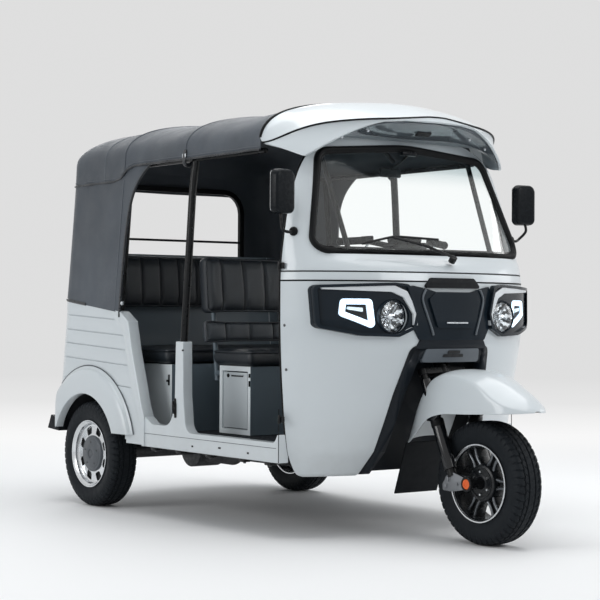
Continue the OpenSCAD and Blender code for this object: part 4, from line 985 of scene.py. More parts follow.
cap = grid("roof_cap_shell", 110, 36, lambda u, v: cap_point(across_cap(2 * u - 1) * 0.999, v))
flipped_out(cap, (0, 0, 1))
thick(cap, 0.016)
rounded(cap, 0.004, 3, 50)
made_of(cap, white)
skirt = grid("brow_skirt", 110, 12, lambda u, v: skirt_point(across_cap(2 * u - 1) * 0.999, mix(0.03, 1, v)))
flipped_out(skirt, (0, -1, 0.3))
modify(skirt, "SOLIDIFY", thickness=0.010, offset=-1.0)
rounded(skirt, 0.002, 2, 60)
made_of(skirt, white)
lip_line = [across_cap(-1 + k / 40) * 0.998 for k in range(81)]
seam_bead = made_of(tube("cap_seam", [seam_point(u) + Vector((0, 0, -0.002)) for u in lip_line], 0.0042),
                    seal_rubber)
joint_strip = made_of(tube("joint_strip", [cap_point(u, 0.004) for u in lip_line], 0.0065), seal_rubber)
done(joined("roof_cap_shell", seam_bead, joint_strip, skirt, cap), "body", replaces=("roof_cap",),
     angle=40)


def under_brow(u, v, gap=0.0):
    """A sheet under the brow, from inside its lip back to the head of the cowl."""
    lip = lip_point(u) + Vector((0, 0.006, 0.002))
    lip.x *= 0.985
    head = on_nose(max(-0.525, min(0.525, lip.x * 0.93)), 1.668, 0.008)
    head.z -= 0.075 * ease((abs(u) - 0.8) / 0.2)
    p = lip.lerp(head, v)
    return p - Vector((0, 0, 0.006 * sin(pi * v) + gap))


# The lining is body paint in shade, painted a darker grey.
closing = grid("brow_lining", 70, 8, lambda u, v: under_brow(mix(-0.98, 0.98, u), v))
thick(flipped_out(closing, (0, 0, -1)), 0.004)
done(closing, "body", brow_grey)


def visor_point(u, v):
    a = mix(-0.80, 0.80, u)
    return under_brow(a, mix(0.06, 0.10 + 0.72 * (1 - abs(a / 0.8) ** 3), v), 0.005)


visor = grid("smoked_visor", 70, 10, visor_point)
thick(flipped_out(visor, (0, 0, -1)), 0.004)
rounded(visor, 0.0015, 2, 50)
made_of(visor, smoked)
# A dark block stands in for the recess: painted shade.
recess = block("visor_recess", (-0.038, -0.014, -0.004), (0.038, 0.014, 0.004))
recess.data.transform(Matrix.Translation(visor_point(0.5, 0.5) - Vector((0, 0, 0.004)))
                      @ Matrix.Rotation(radians(-28), 4, "X"))
rounded(recess, 0.003)
made_of(recess, dark_cavity)
studs = [made_of(spun("visor_stud",
                      [(-0.005, 0.0005), (-0.005, 0.004), (-0.002, 0.006), (0.004, 0.006), (0.004, 0.0005)],
                      visor_point(share, 0.4) - Vector((0, 0, 0.003)), "Z", 16), silver)
         for share in (0.12, 0.22, 0.78, 0.88)]
done(joined("smoked_visor", recess, *studs, visor), "body", replaces=("sun_visor",), angle=40)

# ------------------------------------------------------------------ canopy


def canopy_half(z):
    return HALF + 0.004 - 0.055 * max(0.0, z - WAIST_Z) / (EAVE_Z - WAIST_Z)


def hem_drop(y):
    return lookup([(-9, 0.030), (0, 0.030), (0.055, 0.044), (0.120, 0.084), (0.180, 0.096), (9, 0.096)],
                  y - (CURTAIN_Y - 0.040), 1)


BACK_CORNER = 0.120             # how far the canopy's two rear corners are rounded
BACK_FALL = 0.330               # how far before the rear edge the roof cloth begins to fall
HOOPS = (CAP_BACK + 0.026, REAR_Y - 0.786, CURTAIN_Y + 0.030)


def slack(y, x):
    """How far the cloth sinks between two hoops or lifts over one."""
    low = 0.0
    for a, b in zip(HOOPS, HOOPS[1:] + (CLOTH_BACK - 0.12,)):
        if a < y < b:
            low = -0.009 * sin(pi * (y - a) / (b - a)) ** 1.5
    lift = sum(0.0045 * max(0.0, 1 - ((y - h) / 0.035) ** 2) for h in HOOPS[1:])
    return (low + lift) * (1 - 0.5 * abs(x) ** 4)


def roof_point(u, v):
    """A point of the roof cloth: u from the right hem over the crown to the left, v from front to back."""
    if v < 0.60:
        y, height = mix(CAP_BACK + 0.001, CLOTH_BACK - BACK_FALL, v / 0.60), 1.0
    elif v < 0.94:
        t = radians(90 * (v - 0.60) / 0.34)
        y, height = CLOTH_BACK - BACK_FALL + BACK_FALL * sin(t) ** 0.625, cos(t)
    else:
        y, height = CLOTH_BACK + 0.003, 0.0
    from_back = min(BACK_CORNER, max(0.0, y - (CLOTH_BACK - BACK_CORNER)))
    a = canopy_half(EAVE_Z) - (BACK_CORNER - sqrt(max(0.0, BACK_CORNER ** 2 - from_back ** 2))) + 0.003
    if u < 0.07 or u > 0.93:
        share = (u if u < 0.5 else 1 - u) / 0.07
        x, z = (-a if u < 0.5 else a), EAVE_Z - hem_drop(y) * (1 - share)
        x *= 1 + 0.004 * (1 - share) * (1 + sin(38 * y))
    else:
        w = (u - 0.07) / 0.86 * 2 - 1
        s = (1 if w >= 0 else -1) * (1 - (1 - abs(w)) ** 1.6)
        x, up = a * s, (ROOF_Z - 0.006 - EAVE_Z) * height * arch(s)
        z = EAVE_Z + up + slack(y, s) * min(1, up / 0.05)
    if v >= 0.94:
        fallen = EAVE_Z - (hem_drop(CLOTH_BACK) + 0.001) * (v - 0.94) / 0.06
        z = fallen if 0.07 <= u <= 0.93 else min(z, fallen)
    ruffle = noise.noise(Vector((x * 3.5, y * 5.0, z * 3.0))) * 0.0022
    return Vector((x, y, z + ruffle))


roof_cloth = grid("canopy_roof", 80, 90, roof_point)
flipped_out(roof_cloth, (0, 0, 1))
thick(roof_cloth, 0.004)
made_of(roof_cloth, canvas)


def cloth_line(y, lift, r, name, start=0.0, end=1.0):
    """Piping sewn across the roof cloth at one place."""
    rows = [k / 800 for k in range(481)]
    v = min(rows, key=lambda q: abs(mix(CAP_BACK + 0.001, CLOTH_BACK - BACK_FALL, q / 0.6) - y))
    return tube(name, [roof_point(mix(start, end, k / 70), v) + Vector((0, 0, lift)) for k in range(71)], r,
                sides=2)


def belt_z(y):
    return WAIST_Z + 0.109 * max(0.0, y - CURTAIN_Y)


def wall_point(u, v, inside=0.0):
    """A point of the curtain wall: u round the back from the right front edge to the left, v upwards."""
    r = BACK_CORNER - inside

    def plan(z):
        a = canopy_half(z) - inside
        back = CLOTH_BACK - inside
        if u < 0.36 or u > 0.64:
            share = (u if u < 0.5 else 1 - u)
            sgn = -1 if u < 0.5 else 1
            if share < 0.26:
                return Vector((sgn * a, mix(CURTAIN_Y - 0.190, back - r, share / 0.26), z))
            t = radians(90 * (share - 0.26) / 0.10)
            return Vector((sgn * (a - r + r * cos(t)), back - r + r * sin(t), z))
        return Vector((mix(-(a - r), a - r, (u - 0.36) / 0.28), back, z))
    y = plan(WAIST_Z).y
    low, high = belt_z(y) + 0.001, EAVE_Z - 0.005
    p = plan(mix(low, high, v))
    puff = noise.noise(Vector((p.x * 2.2, p.y * 3.4, p.z * 1.6))) * 0.003 * sin(pi * v)
    p.x -= puff * (1 if p.x < 0 else -1)
    return p


CURTAIN_EDGE = [(CURTAIN_Y, WAIST_Z - 0.02), (CURTAIN_Y, 1.10), (CURTAIN_Y - 0.004, 1.25),
                (CURTAIN_Y - 0.020, 1.39), (CURTAIN_Y - 0.044, 1.47), (CURTAIN_Y - 0.084, 1.532),
                (CURTAIN_Y - 0.130, 1.574), (CURTAIN_Y - 0.188, EAVE_Z - 0.026)]
edge_line = smoothed([(0, y, z) for y, z in CURTAIN_EDGE], 6)
walls = grid("canopy_walls", 124, 36, wall_point)
flipped_out(walls, (0, 1, 0))
thick(walls, 0.005)
carve(walls,
      prism("rear_window_cut",
            rounded_outline([(-0.430, 1.040, 0.09), (0.430, 1.040, 0.09), (0.430, 1.562, 0.11),
                             (-0.430, 1.562, 0.11)]), front, CLOTH_BACK - 0.1, CLOTH_BACK + 0.1),
      prism("curtain_cut",
            [(CURTAIN_Y - 0.5, 0.8), (CURTAIN_Y, 0.8)] + [(p.y, p.z) for p in edge_line]
            + [(CURTAIN_Y - 0.5, EAVE_Z - 0.026)], side, -1, 1))
made_of(walls, canvas)


def on_wall(y, z, proud, s=-1):
    return Vector((s * (canopy_half(z) + proud), y, z))


piping = []
for s in (-1, 1):
    piping.append(made_of(tube("curtain_piping", [on_wall(p.y + 0.004, p.z, 0.001, s) for p in edge_line],
                               0.0055), black_vinyl))
    piping.append(made_of(tube("curtain_seam",
                               [on_wall(CURTAIN_Y + 0.052, mix(WAIST_Z + 0.01, EAVE_Z - 0.09, k / 30),
                                        0.0005, s) for k in range(31)], 0.0018), thread))
    hem_path = [roof_point(0.0 if s < 0 else 1.0, k / 120 * 0.94) for k in range(121)]
    piping.append(made_of(tube("hem_piping", [p + Vector((s * 0.002, 0, 0.002)) for p in hem_path], 0.0048),
                          black_vinyl))
    piping.append(made_of(tube("hem_stitch", [p + Vector((s * 0.0012, 0, 0.017)) for p in hem_path], 0.0011,
                               sides=1), thread))
piping.append(made_of(tube("hem_piping_back",
                           [roof_point(k / 60, 1.0) + Vector((0, 0.002, 0.002)) for k in range(61)],
                           0.0048), black_vinyl))
waist_path = [wall_point(mix(0.20, 0.80, k / 140), 0.0) for k in range(141)]
waist_path = [p for p in waist_path if p.y > CURTAIN_Y - 0.002]
piping.append(made_of(tube("waist_roll",
                           [p + Vector((0.004 * (p.x < 0) - 0.004 * (p.x > 0), 0, 0.004))
                            for p in waist_path], 0.0085), black_vinyl))
for y, r in ((REAR_Y - 0.752, 0.0042), (REAR_Y - 0.232, 0.0036), (CLOTH_BACK - 0.365, 0.0018)):
    piping.append(made_of(cloth_line(y, 0.0008, r, "roof_piping"), canvas if r > 0.002 else thread))
for s in (-1, 1):
    y = REAR_Y - 0.752
    loop = [on_wall(y, EAVE_Z + 0.012, 0.006, s), on_wall(y, EAVE_Z - 0.030, 0.008, s),
            on_wall(y, EAVE_Z - 0.052, 0.002, s), on_wall(y, EAVE_Z - 0.056, -0.020, s),
            on_wall(y, EAVE_Z - 0.040, -0.034, s)]
    strap = tube("hem_strap", smoothed(loop, 6), 0.0075)
    strap.data.transform(Matrix.Translation((0, y, 0)) @ Matrix.Diagonal((1, 1.6, 1, 1))
                         @ Matrix.Translation((0, -y, 0)))
    piping.append(made_of(strap, black_vinyl))
    buckle = block("strap_buckle", on_wall(y - 0.014, EAVE_Z - 0.022, 0.009, s),
                   on_wall(y + 0.014, EAVE_Z - 0.004, 0.014, s))
    piping.append(made_of(rounded(buckle, 0.002), silver))
hood_cloth = joined("canopy_cloth", *piping, walls, roof_cloth)
done(hood_cloth, "body", replaces=("canopy_canvas",), angle=50)

# ------------------------------------------------------------------ seats


def swollen(o, pressure, cap):
    """Lets a pad swell as stuffed cloth, no point moving further than cap."""
    rest = [v.co.copy() for v in o.data.vertices]
    pick(o)
    cloth = o.modifiers.new("stuffing", "CLOTH")
    cloth.settings.quality = 5
    cloth.settings.use_pressure = True
    cloth.settings.uniform_pressure_force = pressure
    cloth.settings.tension_stiffness = cloth.settings.compression_stiffness = 25
    cloth.settings.effector_weights.gravity = 0
    cloth.point_cache.frame_start, cloth.point_cache.frame_end = 1, 20
    for number in range(1, 21):
        bpy.context.scene.frame_set(number)
    bpy.ops.object.modifier_apply(modifier=cloth.name)
    bpy.context.scene.frame_set(1)
    for v, was in zip(o.data.vertices, rest):
        move = v.co - was
        if move.length > cap:
            v.co = was + move * cap / move.length
    return o


def pad(name, low, high, faces, channels, corner, swell=0.008, seam=0.30, turn=0.0, pivot=(0, 0, 0),
        material=leather):
    """A stuffed seat pad. Its sewn channels run up the faces that look along the given direction."""
    low, high = Vector(low), Vector(high)
    inset = Vector((swell, swell, swell * 0.8))
    o = rounded(block(name, low + inset, high - inset), corner, 4)
    pick(o)
    o.data.remesh_voxel_size = PAD_VOXEL
    bpy.ops.object.voxel_remesh()
    swollen(o, 4.0, swell * 1.25)
    modify(o, "SMOOTH", factor=0.5, iterations=4)
    modify(o, "SUBSURF", levels=1, render_levels=1)
    out, span, centre = Vector(faces), high - low, (low + high) / 2
    axis = 2 if abs(out.z) < 0.5 else 1
    deep = abs(span.dot(out)) / 2
    for v in o.data.vertices:
        p = v.co
        facing = ease(((p - centre).dot(out) / deep - 0.35) / 0.5)
        if facing > 0:
            inner = ease(min(p.x - low.x, high.x - p.x, p[axis] - low[axis], high[axis] - p[axis]) / 0.03)
            dip = 0.0
            for share in channels:
                d = abs(p.x - (low.x + span.x * share))
                dip += 0.011 * max(0.0, 1 - d / 0.012) ** 1.6 + 0.004 * max(0.0, 1 - d / 0.045) ** 2
            dip -= 0.0035 * noise.noise(p * 9) * inner
            v.co = p - out * dip * facing * (0.35 + 0.65 * inner)
    made_of(o, material)
    o = joined(name, seam_piping(o, centre, span, out, axis, corner, centre + out * deep * (1 - seam)), o)
    if turn:
        turned_by(o, (turn, 0, 0), pivot)
    return o


def seam_piping(o, centre, span, out, axis, corner, level):
    """Piping round the seam between a pad's facing panel and its boxing, snug on the pad's surface."""
    hx, ha = span.x / 2 - 0.001, span[axis] / 2 - 0.001
    path = []
    for q in rectangle(-hx, -ha, hx, ha, corner, 6):
        p = Vector((centre.x + q.x, level.y, level.z))
        p[axis] = centre[axis] + q.y
        path.append(p)
    surface = KDTree(len(o.data.vertices))
    for k, v in enumerate(o.data.vertices):
        surface.insert(v.co, k)
    surface.balance()
    snug = []
    for a, b in zip(path, path[1:] + path[:1]):
        count = max(1, round((b - a).length / 0.012))
        for m in range(count):
            q = a.lerp(b, m / count)
            near = surface.find(q)[0]
            snug.append(Vector(q[i] if abs(out[i]) > 0.5 else near[i] for i in range(3)))
    soft = [(snug[k - 1] + snug[k] * 2 + snug[(k + 1) % len(snug)]) / 4 for k in range(len(snug))]
    return made_of(tube(o.name + "_piping", soft, 0.0042, True, sides=2), leather_piping)


def from_pivot(pivot, low, high):
    """The two corners of a box that is placed from a pivot."""
    return [tuple(p + q for p, q in zip(pivot, corner)) for corner in (low, high)]


UP, AHEAD = (0, 0, 1), (0, -1, 0)
REST_PIVOT = (0, REAR_Y - 0.583, 0.688)
BENCH_PIVOT = (0, REAR_Y + 0.136, WAIST_Z + 0.004)
BENCH_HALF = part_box("bench_cushion")[1].x
leaning = {"turn": -6, "pivot": REST_PIVOT}
for name, (low, high), faces, channels, corner, fill, node, more in (
    ("driver_cushion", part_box("driver_seat_cushion"), UP, (0.2, 0.4, 0.6, 0.8), 0.022, 0.8,
     "driver_seat_cushion", {"seam": 0.34}),
    ("driver_lumbar_pad", from_pivot(REST_PIVOT, (-0.396, -0.030, LUMBAR[0]), (0.396, 0.018, LUMBAR[1])),
     AHEAD, (0.16, 0.33, 0.5, 0.67, 0.84), 0.018, 0.6, None,
     {"swell": 0.006, "material": grey_leather, **leaning}),
    ("driver_back_pad", from_pivot(REST_PIVOT, (-0.404, -0.062, 0.228), (0.404, 0.028, 0.506)), AHEAD,
     (0.13, 0.28, 0.43, 0.57, 0.72, 0.87), 0.026, 0.8, "driver_backrest", {"seam": 0.4, **leaning}),
    ("bench_cushion_pad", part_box("bench_cushion"), UP, (0.17, 0.335, 0.5, 0.665, 0.83), 0.024, 0.8,
     "bench_cushion", {"seam": 0.34}),
    ("bench_back_pad", from_pivot(BENCH_PIVOT, (-BENCH_HALF, -0.088, 0.004), (BENCH_HALF, -0.016, 0.288)),
     AHEAD, (0.1, 0.2, 0.3, 0.4, 0.5, 0.6, 0.7, 0.8, 0.9), 0.028, 0.7, "bench_backrest",
     {"seam": 0.4, "turn": -5, "pivot": BENCH_PIVOT})):
    made = pad(name, low, high, faces, channels, corner, **more)
    done(made, "body", replaces=(node,) if node else (), angle=60)

# ------------------------------------------------------------------ wheels

TYRE_HALF = [(0.030, 0.1532), (0.050, 0.1536), (0.0548, 0.1562), (0.0585, 0.1625), (0.0592, 0.1690),
             (0.0604, 0.1716), (0.0632, 0.1800), (0.0657, 0.1890), (0.0671, 0.1985), (0.0674, 0.2070),
             (0.0670, 0.2150), (0.0658, 0.2230), (0.0640, 0.2295)]
TREAD_HALF = smoothed([(0.0640, 0.2295, 0), (0.0598, 0.2385, 0), (0.0520, 0.2450, 0), (0.0430, 0.2480, 0),
                       (0.0300, 0.2494, 0), (0.0150, 0.2499, 0), (0, 0.25, 0)], 6)
PITCHES = 50


def tread_depth(x, r, turn):
    """How deep the tread is cut at a place of the tyre."""
    phase = (turn * PITCHES / (2 * pi)) % 1
    a = abs(x)
    wave = 0.0020 * (abs(4 * phase - 2) - 1)
    if r < 0.2265:
        return 0.0011 * (r > 0.2145) * (((turn * PITCHES / pi) % 1) < 0.5)
    if abs(a - 0.0160 - wave * 0.5) < 0.0027 or abs(a - 0.0375 - wave) < 0.0025:
        return 0.0060
    if a < 0.0130:
        return 0.0020 * (((phase + x * 12) % 1) < 0.15)
    if a < 0.0370:
        return 0.0030 * (((phase + a * 26) % 1) < 0.15)
    return 0.0042 * (((phase + a * 8) % 1) < 0.20)


def tyre(name, centre):
    half = [Vector((x, r)) for x, r in TYRE_HALF] + [Vector((p.x, p.y)) for p in TREAD_HALF[1:]]
    line = [Vector((-p.x, p.y)) for p in half] + [p for p in reversed(half[:-1])]
    n = len(line)

    def put(u, v):
        k = round(v * n) % n
        p, t = line[k], 2 * pi * u
        along = line[(k + 1) % n] - line[k - 1]
        depth = tread_depth(p.x, p.y, t) if p.y > 0.2 else 0.0
        out = Vector((-along.y, along.x)).normalized()
        q = p - (out if out.dot(Vector((p.x, p.y - 0.19))) > 0 else -out) * depth
        return Vector((q.x, q.y * cos(t), q.y * sin(t)))
    o = grid(name, PITCHES * 7, n, put)
    edited(o, MERGE)
    o.data.transform(Matrix.Translation(centre))
    return o


front_hub, right_hub, left_hub = middle("front_tyre"), middle("rear_tyre_right"), middle("rear_tyre_left")
front_tyre = tyre("front_tyre_carcass", front_hub)
right_tyre = copied(front_tyre, "rear_tyre_carcass_right", Matrix.Translation(right_hub - front_hub))
left_tyre = copied(front_tyre, "rear_tyre_carcass_left", Matrix.Translation(left_hub - front_hub))
for piece, body, node in ((front_tyre, "front_wheel", "front_tyre"),
                          (right_tyre, "rear_right_wheel", "rear_tyre_right"),
                          (left_tyre, "rear_left_wheel", "rear_tyre_left")):
    done(piece, body, tyre_rubber, (node,), 30)

ZERO = Vector((0, 0, 0))
spoke_metal = mottled("spoke_grey_metal", (0.17, 0.18, 0.195), (0.10, 0.11, 0.12), 30, (0.24, 0.36), 300,
                      0.0002, Metallic=0.8)
wheel_metal_front = turned_metal("machined_lip_front", (0.74, 0.76, 0.78), (0.55, 0.57, 0.59), 0.2,
                                 front_hub.y, front_hub.z)
wheel_metal_rear = turned_metal("machined_rim_rear", (0.80, 0.82, 0.84), (0.62, 0.64, 0.66), 0.16,
                                right_hub.y, right_hub.z)

# Front: a cast wheel with six double spokes
barrel = made_of(spun("barrel",
                      [(0.060, 0.161), (0.0630, 0.1600), (0.0622, 0.1560), (0.056, 0.1530), (0.050, 0.1465),
                       (-0.050, 0.1465), (-0.056, 0.1530), (-0.0622, 0.1560), (-0.0630, 0.1600),
                       (-0.060, 0.161), (-0.052, 0.1535), (0.052, 0.1535)], ZERO, "X", 96), wheel_black)
parts = [barrel]
for s in (-1, 1):
    parts.append(made_of(spun("machined_lip",
                              [(s * 0.0626, 0.1592), (s * 0.0642, 0.1580), (s * 0.0636, 0.1530),
                               (s * 0.0585, 0.1492), (s * 0.0560, 0.1500)], ZERO, "X", 96),
                         wheel_metal_front))
    parts.append(made_of(spun("hub_ring",
                              [(s * 0.040, 0.0640), (s * 0.0462, 0.0625), (s * 0.0472, 0.0590),
                               (s * 0.0462, 0.0560), (s * 0.040, 0.0545)], ZERO, "X", 72), wheel_black))
drum = spun("drum",
            [(0.0465, 0.0215), (0.0465, 0.0300), (0.0440, 0.0330), (0.0440, 0.0600), (0.0400, 0.0730),
             (0.0200, 0.0790), (-0.0200, 0.0790), (-0.0400, 0.0730), (-0.0440, 0.0600), (-0.0440, 0.0330),
             (-0.0465, 0.0300), (-0.0465, 0.0215)], ZERO, "X", 72)
parts.append(made_of(rounded(drum, 0.0015, 2, 25), wheel_black))
SPOKE = rounded_outline([(-0.026, 0.070, 0.002), (0.026, 0.070, 0.002), (0.0195, 0.108, 0.012),
                         (0.031, 0.150, 0.002), (-0.031, 0.150, 0.002), (-0.0195, 0.108, 0.012)], 5)
spoke = prism("spoke", SPOKE, side, -0.026, 0.026)
for s in (-1, 1):
    carve(spoke,
          prism("channel",
                rounded_outline([(-0.0065, 0.074, 0.002), (0.0065, 0.074, 0.002), (0.010, 0.146, 0.003),
                                 (-0.010, 0.146, 0.003)], 3), side, s * 0.030, s * 0.014))
rounded(spoke, 0.0022, 2, 30)
made_of(spoke, wheel_black)
ridges = []
for s in (-1, 1):
    for t in (-1, 1):
        line = smoothed([(s * 0.0240, t * 0.0185, 0.072), (s * 0.0240, t * 0.0140, 0.106),
                         (s * 0.0240, t * 0.0215, 0.148)], 6)
        ridges.append(made_of(tube("ridge", line, 0.0062, sides=3), spoke_metal))
spoke = joined("spoke", *ridges, spoke)
bolt = made_of(spun("bolt",
                    [(-0.0500, 0.0003), (-0.0500, 0.0045), (-0.0440, 0.0052), (0.0440, 0.0052),
                     (0.0500, 0.0045), (0.0500, 0.0003)], (0, 0, 0.0460), "X", 6), wheel_metal_front)
for k in range(6):
    turn = Matrix.Rotation(radians(60 * k + 90), 4, "X")
    parts.append(copied(spoke, "spoke_%d" % k, turn))
    parts.append(copied(bolt, "bolt_%d" % k, Matrix.Rotation(radians(60 * k + 60), 4, "X")))
bpy.data.objects.remove(spoke)
bpy.data.objects.remove(bolt)
front_wheel = joined("front_cast_wheel", *parts)
front_wheel.data.transform(Matrix.Translation(front_hub))
done(front_wheel, "front_wheel", replaces=("front_rim",), angle=35)


def rear_rim(name, body, node, hub, s):
    """A pressed wheel, its polished face towards s along X, with eight slots round a grey cap."""
    face = [(0.060, 0.161), (0.0640, 0.1598), (0.0634, 0.1562), (0.0590, 0.1536), (0.0520, 0.1450),
            (0.0400, 0.1425), (0.0330, 0.1390), (0.0315, 0.1300), (0.0350, 0.1000), (0.0370, 0.0850),
            (0.0370, 0.0215), (0.0310, 0.0215), (0.0310, 0.0850), (0.0285, 0.1000), (0.0255, 0.1300),
            (0.0240, 0.1465), (-0.050, 0.1465), (-0.056, 0.1530), (-0.0622, 0.1560), (-0.0630, 0.1600),
            (-0.060, 0.161), (-0.052, 0.1535), (0.052, 0.1535)]
    disc = spun(name, [(s * a, r) for a, r in face], ZERO, "X", 96)
    slot_line = rounded_outline([(-0.019, 0.094, 0.008), (0.019, 0.094, 0.008), (0.026, 0.133, 0.011),
                                 (-0.026, 0.133, 0.011)], 5)
    for k in range(8):
        tool = prism("slot", slot_line, side, s * 0.012, s * 0.050)
        tool.data.transform(Matrix.Rotation(radians(45 * k + 22.5), 4, "X"))
        carve(disc, tool)
    rounded(disc, 0.0012, 2, 40)
    made_of(disc, wheel_metal_rear)
    cap = spun("cap",
               faced(s, (0.036, 0.0870), (0.0440, 0.0860), (0.0475, 0.0820), (0.0470, 0.0740),
                     (0.0500, 0.0700), (0.0530, 0.0400), (0.0545, 0.0230), (0.0500, 0.0215),
                     (0.0500, 0.0150), (0.0520, 0.0120), (0.0530, 0.0003), (0.036, 0.0003)), ZERO, "X", 72)
    made_of(rounded(cap, 0.0012, 2, 25), cap_grey)
    nuts = []
    for k in range(5):
        nut = spun("cap_screw",
                   faced(s, (0.049, 0.0045), (0.0535, 0.0040), (0.0540, 0.0025), (0.0520, 0.0020),
                         (0.0520, 0.0003), (0.049, 0.0003)), (0, 0, 0.055), "X", 12)
        nut.data.transform(Matrix.Rotation(radians(72 * k), 4, "X"))
        nuts.append(made_of(nut, cast_metal))
    back = made_of(spun("drum",
                        faced(s, (0.022, 0.1300), (-0.020, 0.1330), (-0.026, 0.1280), (-0.026, 0.0300),
                              (0.022, 0.0300)), ZERO, "X", 64), dark_cavity)
    wheel = joined(name, *nuts, cap, back, disc)
    wheel.data.transform(Matrix.Translation(hub))
    return done(wheel, body, replaces=(node,), angle=35)


rear_rim("rear_wheel_disc_right", "rear_right_wheel", "rear_rim_right", right_hub, -1)
rear_rim("rear_wheel_disc_left", "rear_left_wheel", "rear_rim_left", left_hub, 1)

# ------------------------------------------------------------------ front fender and fork

# Distance behind the front axle, height of the crown, of the crease and of the lower edge, half width
FENDER_ROWS = [(-0.275, 0.5525, 0.5495, 0.544, 0.016), (-0.262, 0.566, 0.553, 0.543, 0.052),
               (-0.235, 0.589, 0.560, 0.541, 0.086), (-0.205, 0.609, 0.568, 0.540, 0.108),
               (-0.172, 0.628, 0.580, 0.538, 0.120), (-0.120, 0.655, 0.606, 0.535, 0.126),
               (-0.060, 0.680, 0.646, 0.532, 0.130), (0, 0.697, 0.668, 0.529, 0.132),
               (0.060, 0.703, 0.680, 0.527, 0.133), (0.125, 0.704, 0.682, 0.524, 0.133),
               (0.175, 0.698, 0.674, 0.516, 0.133), (0.215, 0.684, 0.656, 0.504, 0.133),
               (0.250, 0.656, 0.624, 0.484, 0.132), (0.285, 0.610, 0.576, 0.452, 0.130),
               (0.315, 0.552, 0.520, 0.424, 0.127), (0.345, 0.480, 0.452, 0.404, 0.122),
               (0.366, 0.420, 0.408, 0.394, 0.116)]


def between_rows(rows, t):
    """Smooth values between the rows of a table, t running from 0 to 1 along it."""
    n = len(rows) - 1
    k = min(int(t * n), n - 1)
    f = t * n - k
    values = []
    for c in range(len(rows[0])):
        a, b, d, e = (rows[max(0, min(n, k + i))][c] for i in (-1, 0, 1, 2))
        values.append(0.5 * (2 * b + (d - a) * f + (2 * a - 5 * b + 4 * d - e) * f ** 2
                             + (3 * b - a - 3 * d + e) * f ** 3))
    return values


def fender_point(u, v, inside=0.0):
    y, crown, crease, low, w = between_rows(FENDER_ROWS, v)
    s = abs(2 * u - 1)
    w -= min(inside, w * 0.4)
    crown, crease = crown - inside, crease - inside
    if s < 0.62:
        t = s / 0.62
        x, z = 0.905 * w * t, mix(crown, crease, t ** 2.3)
    else:
        t = (s - 0.62) / 0.38
        x, z = mix(0.905, 1.0, t ** 0.6) * w, mix(crease, low, t)
    return Vector((x if u > 0.5 else -x, FRONT_Y + y, z))


fender = grid("front_fender_shell", 60, 88, fender_point)
flipped_out(fender, (0, 0, 1))
thick(fender, 0.005)
rounded(fender, 0.002, 2, 50)
made_of(fender, white)
liner = grid("fender_liner", 48, 56, lambda u, v: fender_point(u, mix(0.06, 0.995, v), 0.0072))
flipped_out(liner, (0, 0, -1))
thick(liner, 0.002)
made_of(liner, grain_plastic)
done(joined("front_fender_shell", liner, fender), "steering", replaces=("front_fender",), angle=40)

fork_parts = []
FORK_Y, FORK_Z = -0.870 + 0.007, 0.620   # a place on the fork legs' line, seen from the side
rake = Vector((0, sin(radians(24)), cos(radians(24))))
for s in (-1, 1):
    leg = Vector((s * 0.104, FORK_Y, FORK_Z))
    low, waist, high = (leg + rake * ((z - FORK_Z) / rake.z) for z in (0.300, 0.470, 0.655))
    fork_parts.append(made_of(rounded(rod("fork_slider", low, waist, 0.0268, sides=40), 0.003, 3, 40),
                              fork_black))
    fork_parts.append(made_of(rounded(rod("fork_gaiter", waist - rake * 0.004, waist + rake * 0.030, 0.0280,
                                          sides=40), 0.004, 3, 40), seal_rubber))
    fork_parts.append(made_of(rod("fork_tube", waist, high, 0.0215, sides=40), fork_black))
    clamp = prism("fender_stay",
                  rounded_outline([(-0.960, 0.520, 0.004), (-0.885, 0.520, 0.006), (-0.885, 0.490, 0.006),
                                   (-0.925, 0.490, 0.004)], 4), side, s * 0.110, s * 0.131)
    fork_parts.append(made_of(rounded(clamp, 0.002), fork_black))
LINK_PLATE = ((0.150, 0.214), (0.152, 0.240), (0.112, 0.292), (0.082, 0.288), (0.020, 0.272),
              (-0.022, 0.258), (-0.020, 0.234), (0.020, 0.226), (0.090, 0.212))
plate_line = rounded_outline([(FRONT_Y + y, z, 0.006) for y, z in LINK_PLATE], 4)
for s in (-1, 1):
    cover = prism("link_plate_face", plate_line, side, s * 0.1105, s * 0.1140)
    rounded(cover, 0.0012, 2, 40)
    fork_parts.append(made_of(cover, link_metal))
    for y, z, r in ((0.118, 0.262, 0.011), (0.130, 0.232, 0.008), (0.060, 0.246, 0.006)):
        head = spun("plate_bolt",
                    faced(s, (0.112, r * 1.35), (0.1155, r * 1.35), (0.1162, r), (0.1215, r * 0.94),
                          (0.1225, r * 0.7), (0.1225, 0.0003), (0.112, 0.0003)), (0, FRONT_Y + y, z), "X",
                    18)
        fork_parts.append(made_of(head, link_metal))
    ring = spun("axle_cap_ring",
                faced(s, (0.112, 0.0300), (0.1240, 0.0300), (0.1262, 0.0280), (0.1262, 0.0215),
                      (0.1200, 0.0205), (0.112, 0.0205)), (0, FRONT_Y, AXLE_Z), "X", 40)
    fork_parts.append(made_of(ring, black_enamel))
    cap = spun("axle_cap", faced(s, (0.113, 0.0205), (0.1235, 0.0205), (0.1262, 0.0185), (0.1268, 0.0110),
                                                    (0.1245, 0.0100), (0.1245, 0.0003), (0.113, 0.0003)),
               (0, FRONT_Y, AXLE_Z), "X", 40)
    fork_parts.append(made_of(cap, orange_cap))
done(joined("axle_dressing", *fork_parts), "steering", angle=30)

# ------------------------------------------------------------------ sides of the body

